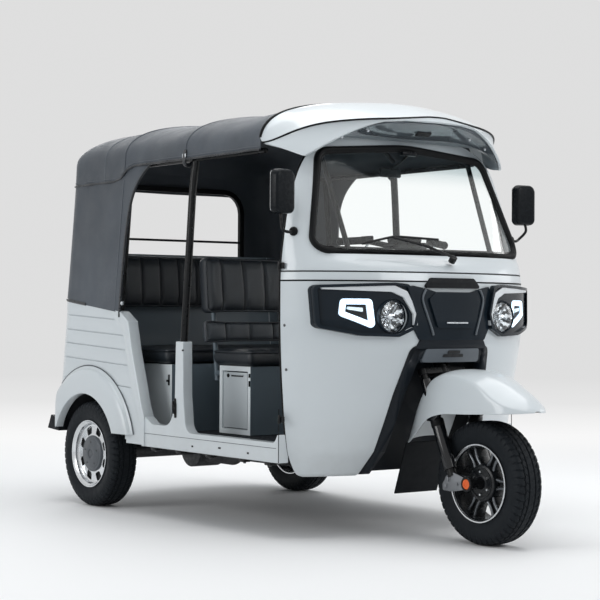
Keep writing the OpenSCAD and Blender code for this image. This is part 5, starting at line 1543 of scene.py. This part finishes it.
POST_Y, POST_TOP, SILL_TOP, SILL_LOW = 0.140, 0.800, 0.400, 0.318
QUARTER_Y = REAR_Y - 0.498
sill_line = rounded_outline([(JAMB_Y + 0.002, SILL_LOW, 0), (JAMB_Y + 0.002, SILL_TOP + 0.035, 0),
                             (JAMB_Y + 0.014, SILL_TOP + 0.033, 0.004), (JAMB_Y + 0.034, SILL_TOP, 0.030),
                             (POST_Y - 0.024, SILL_TOP, 0.050), (POST_Y - 0.004, 0.560, 0.30),
                             (POST_Y, POST_TOP, 0.006), (POST_Y + 0.060, POST_TOP, 0.006),
                             (POST_Y + 0.066, 0.520, 0.30), (POST_Y + 0.104, SILL_TOP + 0.022, 0.075),
                             (QUARTER_Y - 0.058, SILL_TOP + 0.022, 0.060), (QUARTER_Y, SILL_TOP + 0.054, 0),
                             (QUARTER_Y, SILL_LOW, 0)], 8)
sides = []
for s in (-1, 1):
    sill = prism("side_sill", sill_line, side, s * HALF, s * (HALF - 0.050))
    rounded(sill, 0.010, 4, 28)
    sides.append(made_of(sill, white))
    for y, z, wide in ((POST_Y + 0.003, 0.762, 0.010), (-0.150, 0.352, 0.020), (-0.360, 0.345, 0.014),
                       (0.060, 0.345, 0.014)):
        plug = block("sill_plug", (s * (HALF + 0.0012), y - wide / 2, z - 0.004),
                     (s * (HALF - 0.004), y + wide / 2, z + 0.004))
        sides.append(made_of(rounded(plug, 0.0012), dark_cavity))
    crease = tube("sill_crease",
                  [Vector((s * (HALF + 0.0002), mix(JAMB_Y + 0.02, QUARTER_Y, k / 20), 0.378))
                   for k in range(21)], 0.0012, sides=2)
    sides.append(made_of(crease, sill_shadow))
    joint = tube("sill_joint",
                 [Vector((s * (HALF + 0.0001), JAMB_Y + 0.003, mix(0.32, 0.54, k / 6))) for k in range(7)],
                 0.0016, sides=2)
    sides.append(made_of(joint, seal_rubber))
done(joined("sill_and_door_post", *sides), "body", replaces=("side_sills",), angle=35)

TAIL_ROWS = [(0.330, 0.396), (0.420, 0.388), (0.585, 0.358), (0.890, 0.318), (WAIST_Z + 0.090, 0.316)]
RIB_LINES = (0.891, 0.821, 0.755, 0.685, 0.585)
OPENING = [(QUARTER_Y, SILL_LOW), (QUARTER_Y, SILL_TOP + 0.052), (QUARTER_Y + 0.024, 0.500),
           (REAR_Y - 0.386, 0.760), (REAR_Y - 0.352, WAIST_Z - 0.038), (CURTAIN_Y, WAIST_Z)]
quarter_heights = []
for z in [0.324 + 0.0165 * k for k in range(36)] + [0.9255]:
    if all(not (-0.010 < z - line < 0.008) for line in RIB_LINES):
        quarter_heights.append(z)
for line in RIB_LINES:
    quarter_heights += [line - 0.0085, line - 0.0045, line - 0.0036, line - 0.0004, line + 0.0006,
                        line + 0.0075]
quarter_heights.sort()


def tail_y(z):
    return REAR_Y + lookup(TAIL_ROWS, z, 1)


ARCH_TAIL = tail_y(0.4)


def edge_distance(y, z):
    """How far a place on the side lies from the door opening's edge."""
    best = 9.0
    for a, b in zip(OPENING[1:], OPENING[2:]):
        a, b, p = Vector(a), Vector(b), Vector((y, z))
        t = max(0, min(1, (p - a).dot(b - a) / (b - a).length_squared))
        best = min(best, (p - a.lerp(b, t)).length)
    return best


def quarter_point(u, v):
    z = quarter_heights[min(round(v * (len(quarter_heights) - 1)), len(quarter_heights) - 1)]
    slope = 0.024 * ease((z - 0.45) / 0.05)
    a, r = HALF, 0.120
    y0 = lookup([(z, y) for y, z in OPENING], z, 1) + 0.003
    y_end = tail_y(z)
    if u < 0.62:
        x, y, out = -a, mix(y0, y_end - r, u / 0.62), Vector((-1, 0, 0))
    elif u < 0.86:
        t = radians(90 * (u - 0.62) / 0.24)
        x, y, out = -a + r - r * cos(t), y_end - r + r * sin(t), Vector((-cos(t), sin(t), 0))
    else:
        x, y, out = mix(-a + r, -0.440, (u - 0.86) / 0.14), y_end, Vector((0, 1, 0))
    lift = 0.0
    gap = edge_distance(y, z)
    ends = ease((gap - 0.066) / 0.010) * ease((y_end - 0.115 - y) / 0.03 + 1)
    for line in RIB_LINES:
        d = z - line
        if -0.0040 < d < 0.0002:
            lift -= 0.0050 * ends
        elif -0.045 < d <= -0.0040:
            lift += 0.0045 * (1 + d / 0.045) * ends
    lift += 0.005 * (1 - ease((gap - 0.040) / 0.014))
    lean = slope if z < 0.9 else mix(slope, 0.0567, min(1.0, (z - 0.9) / 0.025))
    rise = lean * (y - REAR_Y + 0.33) / 0.52
    return Vector((x, y, z + rise)) + out * lift


quarter = grid("rear_quarter_skin", 110, len(quarter_heights) - 1, quarter_point)
flipped_out(quarter, (-1, 0, 0))
axle = Vector((REAR_Y, AXLE_Z))
for p in quarter.data.polygons:
    p.select = (Vector((p.center.y, p.center.z)) - axle).length < 0.345 or (
        p.center.y > REAR_Y and p.center.z < 0.392)
for v in quarter.data.vertices:
    v.select = False
for e in quarter.data.edges:
    e.select = False
bpy.ops.object.mode_set(mode="EDIT")
bpy.ops.mesh.select_mode(type="FACE")
bpy.ops.mesh.delete(type="FACE")
bpy.ops.object.mode_set(mode="OBJECT")
modify(quarter, "SOLIDIFY", thickness=0.005, offset=-1.0)
made_of(quarter, white)
edge_in = [Vector((y, z)) for y, z in OPENING]
edge_out = [p + Vector((0.020, 0.010 if k == len(edge_in) - 1 else 0.0)) for k, p in enumerate(edge_in)]
band_line = [(p.x - 0.001, p.y + (0.006 if k == 5 else 0)) for k, p in enumerate(edge_in)] + [
    (p.x, p.y) for p in reversed(edge_out)]
flange = prism("door_flange", band_line, side, -(HALF + 0.0062), -(HALF - 0.050))
rounded(flange, 0.006, 3, 30)
made_of(flange, white)
inner = prism("quarter_lining",
              [(p.x + 0.002, p.y) for p in edge_in[1:]]
              + [(REAR_Y - 0.24, WAIST_Z + 0.002), (REAR_Y - 0.30, 0.52)], side, -(HALF - 0.046),
              -(HALF - 0.050))
made_of(inner, brow_grey)
FLARE = [(0.288, 0.0), (0.288, 0.036), (0.2895, 0.0395), (0.294, 0.040), (0.330, 0.0395), (0.362, 0.0375),
         (0.384, 0.0340), (0.398, 0.0280), (0.4045, 0.0215), (0.406, 0.0150), (0.4085, 0.0115),
         (0.4165, 0.0095), (0.420, 0.0060), (0.420, -0.004)]
flare = spun("rear_flare", [(-(HALF - 0.0005 + out), r) for r, out in FLARE], (0, REAR_Y, AXLE_Z), "X", 144)
carve(flare, block("flare_low", (-1, REAR_Y - 0.6, -0.4), (-0.3, REAR_Y + 0.6, 0.365)),
      block("flare_back", (-1, ARCH_TAIL - 0.116, -0.4), (-0.3, REAR_Y + 0.8, 1.2)))
rounded(flare, 0.003, 2, 40)
made_of(flare, white)
flap_line = [(ARCH_TAIL - 0.118, 0.402), (ARCH_TAIL - 0.040, 0.420), (ARCH_TAIL - 0.006, 0.352),
             (ARCH_TAIL - 0.118, 0.344)]
flap = prism("arch_flap", flap_line, side, -(HALF + 0.020), -(HALF - 0.150))
rounded(flap, 0.003, 2, 30)
made_of(flap, flap_rubber)
bead = tube("flare_shadow_gap",
            [Vector((-(HALF + 0.0045), REAR_Y + 0.4225 * cos(t), AXLE_Z + 0.4225 * sin(t)))
             for t in [radians(16 + 148 * k / 60) for k in range(61)] if REAR_Y + 0.4225
             * cos(t) < ARCH_TAIL - 0.118], 0.0022, sides=2)
made_of(bead, sill_shadow)
quarter_right = joined("rear_quarter_skin_right", flap, bead, inner, flange, quarter)
flare_right = joined("rear_flare_right", flare)
quarter_left = mirrored_copy(quarter_right, "rear_quarter_skin_left")
flare_left = mirrored_copy(flare_right, "rear_flare_left")
for piece in (quarter_right, quarter_left):
    done(piece, "body", replaces=("rear_quarter_panels",), angle=30)
for piece in (flare_right, flare_left):
    done(piece, "body", replaces=("rear_fenders",), angle=35)

# ------------------------------------------------------------------ door fittings, mirrors, small parts

fittings = []
for s in (-1, 1):
    for y, z in ((JAMB_Y - 0.012, 1.122), (JAMB_Y - 0.018, 0.498)):
        leaf = block("hinge_leaf", (s * (HALF + 0.002), y - 0.014, z - 0.013),
                     (s * (HALF - 0.006), y + 0.010, z + 0.013))
        fittings.append(made_of(rounded(leaf, 0.003, 3), black_enamel))
        knuckle = rod("hinge_knuckle", (s * (HALF + 0.004), y + 0.011, z - 0.017),
                      (s * (HALF + 0.004), y + 0.011, z + 0.017), 0.0065)
        fittings.append(made_of(rounded(knuckle, 0.0015, 2, 40), black_enamel))
    keeper = prism("post_latch",
                   rounded_outline([(POST_Y + 0.048, 0.462, 0.006), (POST_Y + 0.062, 0.462, 0.004),
                                    (POST_Y + 0.066, 0.545, 0.004), (POST_Y + 0.054, 0.552, 0.006),
                                    (POST_Y + 0.048, 0.520, 0.006)], 4), side, s * (HALF + 0.006),
                   s * (HALF - 0.014))
    fittings.append(made_of(rounded(keeper, 0.002, 2), black_enamel))
    lever = tube("latch_lever",
                 smoothed([(s * (HALF + 0.008), POST_Y + 0.056, 0.480),
                           (s * (HALF + 0.012), POST_Y + 0.060, 0.505),
                           (s * (HALF + 0.008), POST_Y + 0.066, 0.535)], 5), 0.0040)
    fittings.append(made_of(lever, black_enamel))
    button = spun("curtain_button",
                  faced(s, (-0.004, 0.0003), (-0.004, 0.009), (0.003, 0.009), (0.006, 0.006),
                        (0.0065, 0.0003)), (s * HALF, CURTAIN_Y - 0.012, WAIST_Z + 0.045), "X", 20)
    fittings.append(made_of(button, silver))
done(joined("hinges_and_latches", *fittings), "body", angle=35)


def mirror_set(s):
    """A wing mirror: a shell with a soft back, its glass facing the rear, on a bent arm."""
    centre = Vector((s * (HALF + 0.022), FRONT_Y + 0.496, 1.422))
    shell = prism("mirror_shell",
                  rounded_outline([(-0.056, -0.093, 0.026), (0.056, -0.093, 0.026), (0.056, 0.093, 0.034),
                                   (-0.056, 0.093, 0.034)], 10), front, -0.024, 0.021)
    pick(shell)
    for v in shell.data.vertices:
        if v.co.y < 0:
            v.co.x, v.co.z = v.co.x * 0.93, v.co.z * 0.95
    rounded(shell, 0.013, 6, 50)
    made_of(shell, mirror_black)
    pane = prism("mirror_pane", rectangle(-0.048, -0.084, 0.048, 0.084, 0.016), front, 0.0200, 0.0225)
    made_of(pane, looking_glass)
    head = joined("mirror_head", pane, shell)
    head.data.transform(Matrix.Translation(centre) @ Matrix.Rotation(radians(-8 * s), 4, "Z"))
    foot = nose(1.262, 74 * s, -0.004)
    arm = made_of(tube("mirror_arm",
                       smoothed([foot, foot + Vector((s * 0.022, -0.004, -0.004)),
                                 foot + Vector((s * 0.050, 0.004, 0.006)),
                                 centre + Vector((s * 0.010, -0.006, -0.118)),
                                 centre + Vector((s * 0.008, 0, -0.080))], 8), 0.0062), black_enamel)
    base = made_of(rounded(spun("mirror_foot",
                                [(-0.006, 0.0003), (-0.006, 0.020), (0.006, 0.017), (0.010, 0.009),
                                 (0.010, 0.0003)], ZERO, "X", 24), 0.0015, 2, 30), seal_rubber)
    out = nose(1.262, 74 * s, -0.01) - nose(1.262, 74 * s, 0)
    base.data.transform(Matrix.Translation(foot) @ out.to_track_quat("X", "Z").to_matrix().to_4x4())
    return [arm, base, head]


done(joined("wing_mirrors", *mirror_set(-1), *mirror_set(1)), "body", replaces=("mirrors",),
     angle=50)

# The driver's box door with its pull, lock and rebate, and the clips of both seat boxes
door_low, door_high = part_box("driver_box_door")
face_x, door_y, door_z = door_low.x, door_low.y, door_high.z
pull = []
y0, y1, z = door_y + 0.030, door_y + 0.125, door_z - 0.030
# The pull's slot is a dark patch: painted shade for its recess.
slot = block("pull_slot", (face_x - 0.0012, y0, z - 0.004), (face_x + 0.004, y1, z + 0.004))
pull.append(made_of(rounded(slot, 0.0011), dark_cavity))
lip = block("pull_lip", (face_x - 0.0045, y0 - 0.002, z + 0.003), (face_x + 0.001, y1 + 0.002, z + 0.007))
pull.append(made_of(rounded(lip, 0.0015), white))
rebate = []
for low, high in (((door_low.y - 0.012, door_low.z - 0.012), (door_low.y + 0.010, door_high.z + 0.012)),
                  ((door_high.y - 0.012, door_low.z - 0.012), (door_high.y + 0.010, door_high.z + 0.012)),
                  ((door_low.y - 0.012, door_low.z - 0.012), (door_high.y + 0.010, door_low.z + 0.010)),
                  ((door_low.y - 0.012, door_high.z - 0.010), (door_high.y + 0.010, door_high.z + 0.012))):
    rebate.append(block("door_rebate", (-0.3505, *low), (-0.3465, *high)))
done(joined("box_door_rebate", *rebate), "body", white)
lock = spun("box_lock",
            [(0.001, 0.0003), (0.001, 0.0090), (-0.0030, 0.0090), (-0.0040, 0.0075), (-0.0030, 0.0050),
             (-0.0030, 0.0003)], (face_x, door_y + 0.148, door_z - 0.030), "X", 24)
pull.append(made_of(lock, black_enamel))
done(joined("box_door_pull", *pull), "seat_box_door", angle=35)
clips = []
for z, tall in ((door_z - 0.026, 0.018), (door_z - 0.062, 0.026)):
    clip = block("box_clip", (-0.3675, 0.0385, z - tall / 2), (-0.3605, 0.0470, z + tall / 2))
    clips.append(made_of(rounded(clip, 0.002), black_enamel))
for s in (-1, 1):
    clip = block("bench_clip", (s * 0.4945, 0.505, 0.590), (s * 0.4875, 0.514, 0.640))
    clips.append(made_of(rounded(clip, 0.002), black_enamel))
    clips.append(made_of(rounded(block("bench_clip_tab", (s * 0.4975, 0.506, 0.606),
                                       (s * 0.4925, 0.524, 0.616)), 0.0015), black_enamel))
done(joined("seat_box_clips", *clips), "body", angle=35)

# Ribbed rubber mat on the floor
FLOOR_Z = 0.372
mat_half = 0.600


def mat_point(u, v):
    x = mix(-mat_half, mat_half, u)
    rib = max(0.0, cos(x / 0.026 * 2 * pi)) ** 0.6
    y = mix(JAMB_Y + 0.030, 0.470, v)
    edge = ease(min(u, 1 - u) / 0.006) * ease(min(v, 1 - v) / 0.012)
    return Vector((x, y, FLOOR_Z + 0.003 + 0.0045 * rib * edge))


mat = grid("ribbed_floor_mat", 370, 24, mat_point)
flipped_out(mat, (0, 0, 1))
thick(mat, 0.003)
done(mat, "body", mat_rubber, angle=50)

# Brackets and pipes that show below the sills
under = []
for s in (-1, 1):
    for y in (-0.420, -0.235, 0.020, 0.260, 0.470):
        foot = prism("sill_bracket",
                     rounded_outline([(y - 0.030, 0.318, 0), (y + 0.030, 0.318, 0),
                                      (y + 0.018, 0.296, 0.004), (y - 0.018, 0.296, 0.004)], 3), side,
                     s * 0.600, s * 0.565)
        under.append(made_of(rounded(foot, 0.002), black_enamel))
        under.append(made_of(spun("bracket_bolt",
                                  [(0.303, 0.0003), (0.303, 0.007), (0.290, 0.007), (0.290, 0.0003)],
                                  (s * 0.583, y, 0), "Z", 6), cast_metal))
    pipe = smoothed([(s * 0.520, JAMB_Y + 0.02, 0.300), (s * 0.525, -0.2, 0.296), (s * 0.515, 0.1, 0.302),
                     (s * 0.520, 0.45, 0.298), (s * 0.430, 0.60, 0.300)], 10)
    under.append(made_of(tube("brake_pipe", pipe, 0.0045), black_enamel))
done(joined("underfloor_brackets", *under), "body", angle=35)

# Mirror inside the cab
cab = []
stem = smoothed([(0.010, -0.600, 1.612), (-0.015, -0.585, 1.585), (-0.060, -0.560, 1.545)], 6)
cab.append(made_of(tube("cab_mirror_arm", stem, 0.0055), black_enamel))
frame_piece = block("cab_mirror_frame", (-0.118, -0.566, 1.512), (0.000, -0.550, 1.552))
rounded(frame_piece, 0.009, 4)
cab.append(made_of(frame_piece, mirror_black))
cab.append(made_of(block("cab_mirror_pane", (-0.112, -0.5505, 1.518), (-0.006, -0.5485, 1.546)),
                   looking_glass))
foot_plate = block("cab_mirror_foot", (-0.030, -0.612, 1.606), (0.050, -0.586, 1.624))
cab.append(made_of(rounded(foot_plate, 0.004), mirror_black))
done(joined("cab_mirror", *cab), "body", angle=40)

# ------------------------------------------------------------------ door jambs, handlebar, tail

jambs = []
for s in (-1, 1):
    line = []
    for k in range(61):
        z = mix(0.300, 1.640, k / 60)
        p = nose(z, s * (jamb_angle(z) - 0.2), 0.004)
        line.append(p + Vector((0, 0.006, 0)))
    strip = tube("jamb_seal", line, 0.0075, sides=3)
    jambs.append(made_of(strip, seal_rubber))
    lining = [p + Vector((-s * 0.024, 0.002, 0)) for p in line]
    jambs.append(made_of(tube("jamb_lining", lining, 0.010, sides=3), seal_rubber))
    for z in (0.700, 0.880):
        clip = spun("jamb_bolt",
                    faced(s, (-0.003, 0.0003), (-0.003, 0.006), (0.0015, 0.006), (0.003, 0.004),
                          (0.003, 0.0003)), nose(z, s * (jamb_angle(z) - 3.4), 0), "X", 14)
        jambs.append(made_of(clip, cast_metal))
for s in (-1, 1):
    cover = spun("lamp_back_cover",
                 [(0.040, 0.0003), (0.040, 0.030), (0.034, 0.045), (0.022, 0.078), (0.018, 0.080),
                  (0.018, 0.070), (0.030, 0.040), (0.036, 0.0003)],
                 Vector((s * LAMP_X, LAMP.y + 0.030, LAMP.z)), "Y", 40)
    jambs.append(made_of(cover, grain_plastic))
done(joined("door_jamb_seals", *jambs), "body", angle=40)

grips = []
for s in (-1, 1):
    inner_end, outer_end = Vector((s * 0.198, -0.5515, 1.2385)), Vector((s * 0.303, -0.5095, 1.2313))
    along = (outer_end - inner_end).normalized()
    profile = [(0.0, 0.0125), (0.0, 0.0170), (0.004, 0.0185)]
    for k in range(14):
        profile += [(0.010 + 0.0066 * k, 0.0165), (0.0132 + 0.0066 * k, 0.0155)]
    profile += [(0.106, 0.0180), (0.110, 0.0170), (0.110, 0.0005), (0.108, 0.0005), (0.104, 0.0122)]
    grip = spun("grip", profile, ZERO, "X", 28)
    grip.data.transform(Matrix.Translation(inner_end) @ along.to_track_quat("X", "Z").to_matrix().to_4x4())
    grips.append(made_of(grip, grain_plastic))
    pod_block = block("switch_pod", (-0.020, -0.017, -0.018), (0.022, 0.017, 0.018))
    rounded(pod_block, 0.006, 3)
    pod_block.data.transform(Matrix.Translation(inner_end - along * 0.022)
                             @ along.to_track_quat("X", "Z").to_matrix().to_4x4())
    grips.append(made_of(pod_block, grain_plastic))
    lever = smoothed([inner_end + Vector((-s * 0.018, -0.010, -0.012)),
                      inner_end + Vector((s * 0.006, -0.016, -0.034)),
                      inner_end + Vector((s * 0.048, -0.004, -0.040)),
                      inner_end + Vector((s * 0.086, 0.016, -0.042))], 8)
    grips.append(made_of(tube("hand_lever", lever, 0.0052), silver))
cluster = prism("cluster_case",
                rounded_outline([(-0.080, 1.229, 0.014), (0.080, 1.229, 0.014), (0.066, 1.252, 0.014),
                                 (-0.066, 1.252, 0.014)], 6), front, -0.618, -0.556)
rounded(cluster, 0.008, 3)
grips.append(made_of(cluster, grain_plastic))
for x, r in ((-0.030, 0.026), (0.034, 0.019)):
    ring = spun("dial_ring", [(-0.0005, r - 0.004), (0.004, r - 0.003), (0.004, r), (-0.002, r + 0.001)],
                (x, -0.587, 1.252), "Z", 40)
    grips.append(made_of(ring, silver))
    face = spun("dial_face", [(-0.002, 0.0003), (-0.002, r - 0.002), (0.0012, r - 0.002), (0.0012, 0.0003)],
                (x, -0.587, 1.252), "Z", 40)
    grips.append(made_of(face, dark_cavity))
    needle = block("dial_needle", (x - 0.001, -0.587 - r * 0.7, 1.2534), (x + 0.001, -0.583, 1.2542))
    grips.append(made_of(needle, orange_cap))
done(joined("grips_and_dials", *grips), "steering", angle=35)

lid_low, lid_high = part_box("tail_lid")
back = []
handle_z = lid_low.z + 0.055
face_y = lid_high.y
handle = prism("lid_handle", rectangle(-0.048, handle_z - 0.016, 0.048, handle_z + 0.016, 0.008, 5), front,
               face_y - 0.004, face_y + 0.006)
rounded(handle, 0.003, 3, 40)
carve(handle,
      block("handle_pocket", (-0.036, face_y - 0.001, handle_z - 0.009),
            (0.036, face_y + 0.02, handle_z + 0.005)))
back.append(made_of(handle, black_enamel))
for x in (-0.205, 0.205):
    for z in (lid_low.z + 0.030, lid_high.z - 0.030):
        stud = spun("lid_stud",
                    [(0.004, 0.0003), (0.004, 0.0040), (0.002, 0.0060), (-0.003, 0.0060), (-0.003, 0.0003)],
                    (x, face_y, z), "Y", 16)
        back.append(made_of(stud, silver))
done(joined("lid_handle", *back), "tail_lid", angle=35)
tail = []
for s in (-1, 1):
    low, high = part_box("tail_lamps")
    x0, x1 = (high.x - 0.062, high.x) if s > 0 else (low.x, low.x + 0.062)
    zs = (low.z + 0.004, high.z - 0.004)
    frame_line = rectangle(x0 - 0.006, zs[0] - 0.010, x1 + 0.006, zs[1] + 0.010, 0.010, 5)
    backing = prism("lamp_backing", frame_line, front, high.y - 0.040, high.y - 0.014)
    rounded(backing, 0.003, 2, 40)
    tail.append(made_of(backing, grain_plastic))
    reflector_line = rectangle(s * 0.470 - 0.036, 0.418, s * 0.470 + 0.036, 0.440, 0.006, 4)
    tail.append(made_of(rounded(prism("rear_reflector", reflector_line, front, tail_y(0.43) - 0.004,
                                      tail_y(0.43) + 0.004), 0.0015), red))
done(joined("tail_lamp_backing", *tail), "body", angle=35)

# ------------------------------------------------------------------ the frame's own pieces

for name, finish, width in (("chassis_frame", black_enamel, 0.002), ("floor_pan", grain_plastic, 0),
                            ("battery_box", grain_plastic, 0.004), ("wheel_bay_surround", bay_plastic, 0),
                            ("wiper", black_enamel, 0), ("dashboard", grain_plastic, 0.004),
                            ("wheel_housings", grain_plastic, 0), ("tail_panel", white, 0.002),
                            ("tail_lid", white, 0.002), ("tail_lamps", red, 0.003),
                            ("rear_bumper", black_enamel, 0.001), ("canopy_frame", black_enamel, 0),
                            ("rear_window_frame", seal_rubber, 0.002),
                            ("driver_seat_base", driver_box_paint, 0.003),
                            ("driver_box_door", white, 0.001), ("bench_base", bench_box_paint, 0.003),
                            ("rear_axle", cast_metal, 0.002), ("rear_springs", black_enamel, 0.002),
                            ("handlebar", black_enamel, 0), ("front_fork", black_enamel, 0.001),
                            ("front_mudflap", flap_rubber, 0)):
    carried(name, finish, width)

# ------------------------------------------------------------------ floor, light and camera

CAMERA = Vector((-4.66423, -6.02830, 0.936029))
YAW, PITCH, ROLL = 0.646356, 0.00693768, 0.00571788
ahead = Vector((sin(YAW) * cos(PITCH), cos(YAW) * cos(PITCH), sin(PITCH)))
right = Vector((cos(YAW), -sin(YAW), 0))
above = right.cross(ahead)
right, above = cos(ROLL) * right + sin(ROLL) * above, -sin(ROLL) * right + cos(ROLL) * above
deselect()
bpy.ops.object.camera_add(location=CAMERA)
camera = bpy.context.object
camera.data.lens, camera.data.sensor_width = 99.94, 36
camera.rotation_mode = "QUATERNION"
camera.rotation_quaternion = Matrix((right, above, -ahead)).transposed().to_quaternion()
bpy.context.scene.camera = camera

deselect()
bpy.ops.mesh.primitive_plane_add(size=120)
ground = settled("studio_floor")
f = Finish("studio_floor", Roughness=0.7, Specular_IOR_Level=0.1)
x, y = f.axes()[:2]
away = (x - CAMERA.x) * sin(YAW) + (y - CAMERA.y) * cos(YAW)
tone = f.add("ValToRGB", {"stops": [(0.15, (0.855, 0.855, 0.855)), (0.235, (0.945, 0.945, 0.945))]},
             {0: away / 40})
f.feed(Base_Color=f.blend(0.04 * f.cloud(0.4, 2), tone, (0.80, 0.80, 0.80)))
ramp = f.add("ValToRGB",
             {"stops": [(0.225, (0.985, 0.985, 0.985)), (0.30, (0.96, 0.96, 0.96)),
                        (0.43, (0.79, 0.79, 0.79)), (0.60, (0.735, 0.735, 0.735))]}, {0: away / 40})
glow = f.add("Emission", inputs={"Color": ramp, "Strength": 1.0})
far = f.step(away, 8.8, 13.0)
mixed = f.add("MixShader", inputs={0: far, 1: Field(f, f.shader.outputs[0]), 2: glow})
f.tree.links.new(mixed.socket, f.output.inputs["Surface"])
made_of(ground, f.material)

BACKDROP_GREY = 0.735           # what the camera sees behind the floor
BEYOND_GLASS = 1.0              # the same place seen through glass
world = bpy.context.scene.world or bpy.data.worlds.new("studio")
bpy.context.scene.world = world
world.use_nodes = True
tree = world.node_tree
tree.nodes.clear()
output = tree.nodes.new("ShaderNodeOutputWorld")
rays = tree.nodes.new("ShaderNodeLightPath")
sky = tree.nodes.new("ShaderNodeBackground")
sky.inputs[0].default_value, sky.inputs[1].default_value = (0.90, 0.955, 1.0, 1), 0.40
backdrop = tree.nodes.new("ShaderNodeBackground")
backdrop.inputs[0].default_value, backdrop.inputs[1].default_value = (*[BACKDROP_GREY] * 3, 1), 1.0
seen = rays.outputs["Is Camera Ray"]
for kind in ("Is Glossy Ray", "Is Transmission Ray"):
    either = tree.nodes.new("ShaderNodeMath")
    either.operation = "MAXIMUM"
    tree.links.new(seen, either.inputs[0])
    tree.links.new(rays.outputs[kind], either.inputs[1])
    seen = either.outputs[0]
brighter = tree.nodes.new("ShaderNodeMapRange")
brighter.inputs[3].default_value, brighter.inputs[4].default_value = 1.0, BEYOND_GLASS / BACKDROP_GREY
tree.links.new(rays.outputs["Is Transmission Ray"], brighter.inputs[0])
tree.links.new(brighter.outputs[0], backdrop.inputs[1])
choice = tree.nodes.new("ShaderNodeMixShader")
tree.links.new(seen, choice.inputs[0])
tree.links.new(sky.outputs[0], choice.inputs[1])
tree.links.new(backdrop.outputs[0], choice.inputs[2])
tree.links.new(choice.outputs[0], output.inputs[0])


def softbox(name, place, target, size, power, colour=(1, 1, 1)):
    deselect()
    bpy.ops.object.light_add(type="AREA", location=place)
    lamp = bpy.context.object
    lamp.name = name
    lamp.data.shape, lamp.data.size, lamp.data.size_y = "RECTANGLE", *size
    lamp.data.energy, lamp.data.color = power, colour
    lamp.rotation_mode = "QUATERNION"
    lamp.rotation_quaternion = (Vector(target) - Vector(place)).to_track_quat("-Z", "Y")
    lamp.visible_camera = False
    return lamp


softbox("overhead", (0.3, -0.3, 5.0), (0, 0, 0), (5, 5), 190)
softbox("nose_key", (1.8, -6.5, 3.6), (0, -0.6, 0.9), (3.0, 2.2), 95)
softbox("right_fill", (6, -2.0, 2.6), (0, 0, 0.9), (3, 2.4), 45)
softbox("near_side_fill", (-6.0, 0.5, 2.8), (0, 0.4, 0.8), (3.4, 2.4), 100)
softbox("rear_rim", (2.5, 6.5, 3.5), (0, 0, 1.0), (4, 2.4), 80)
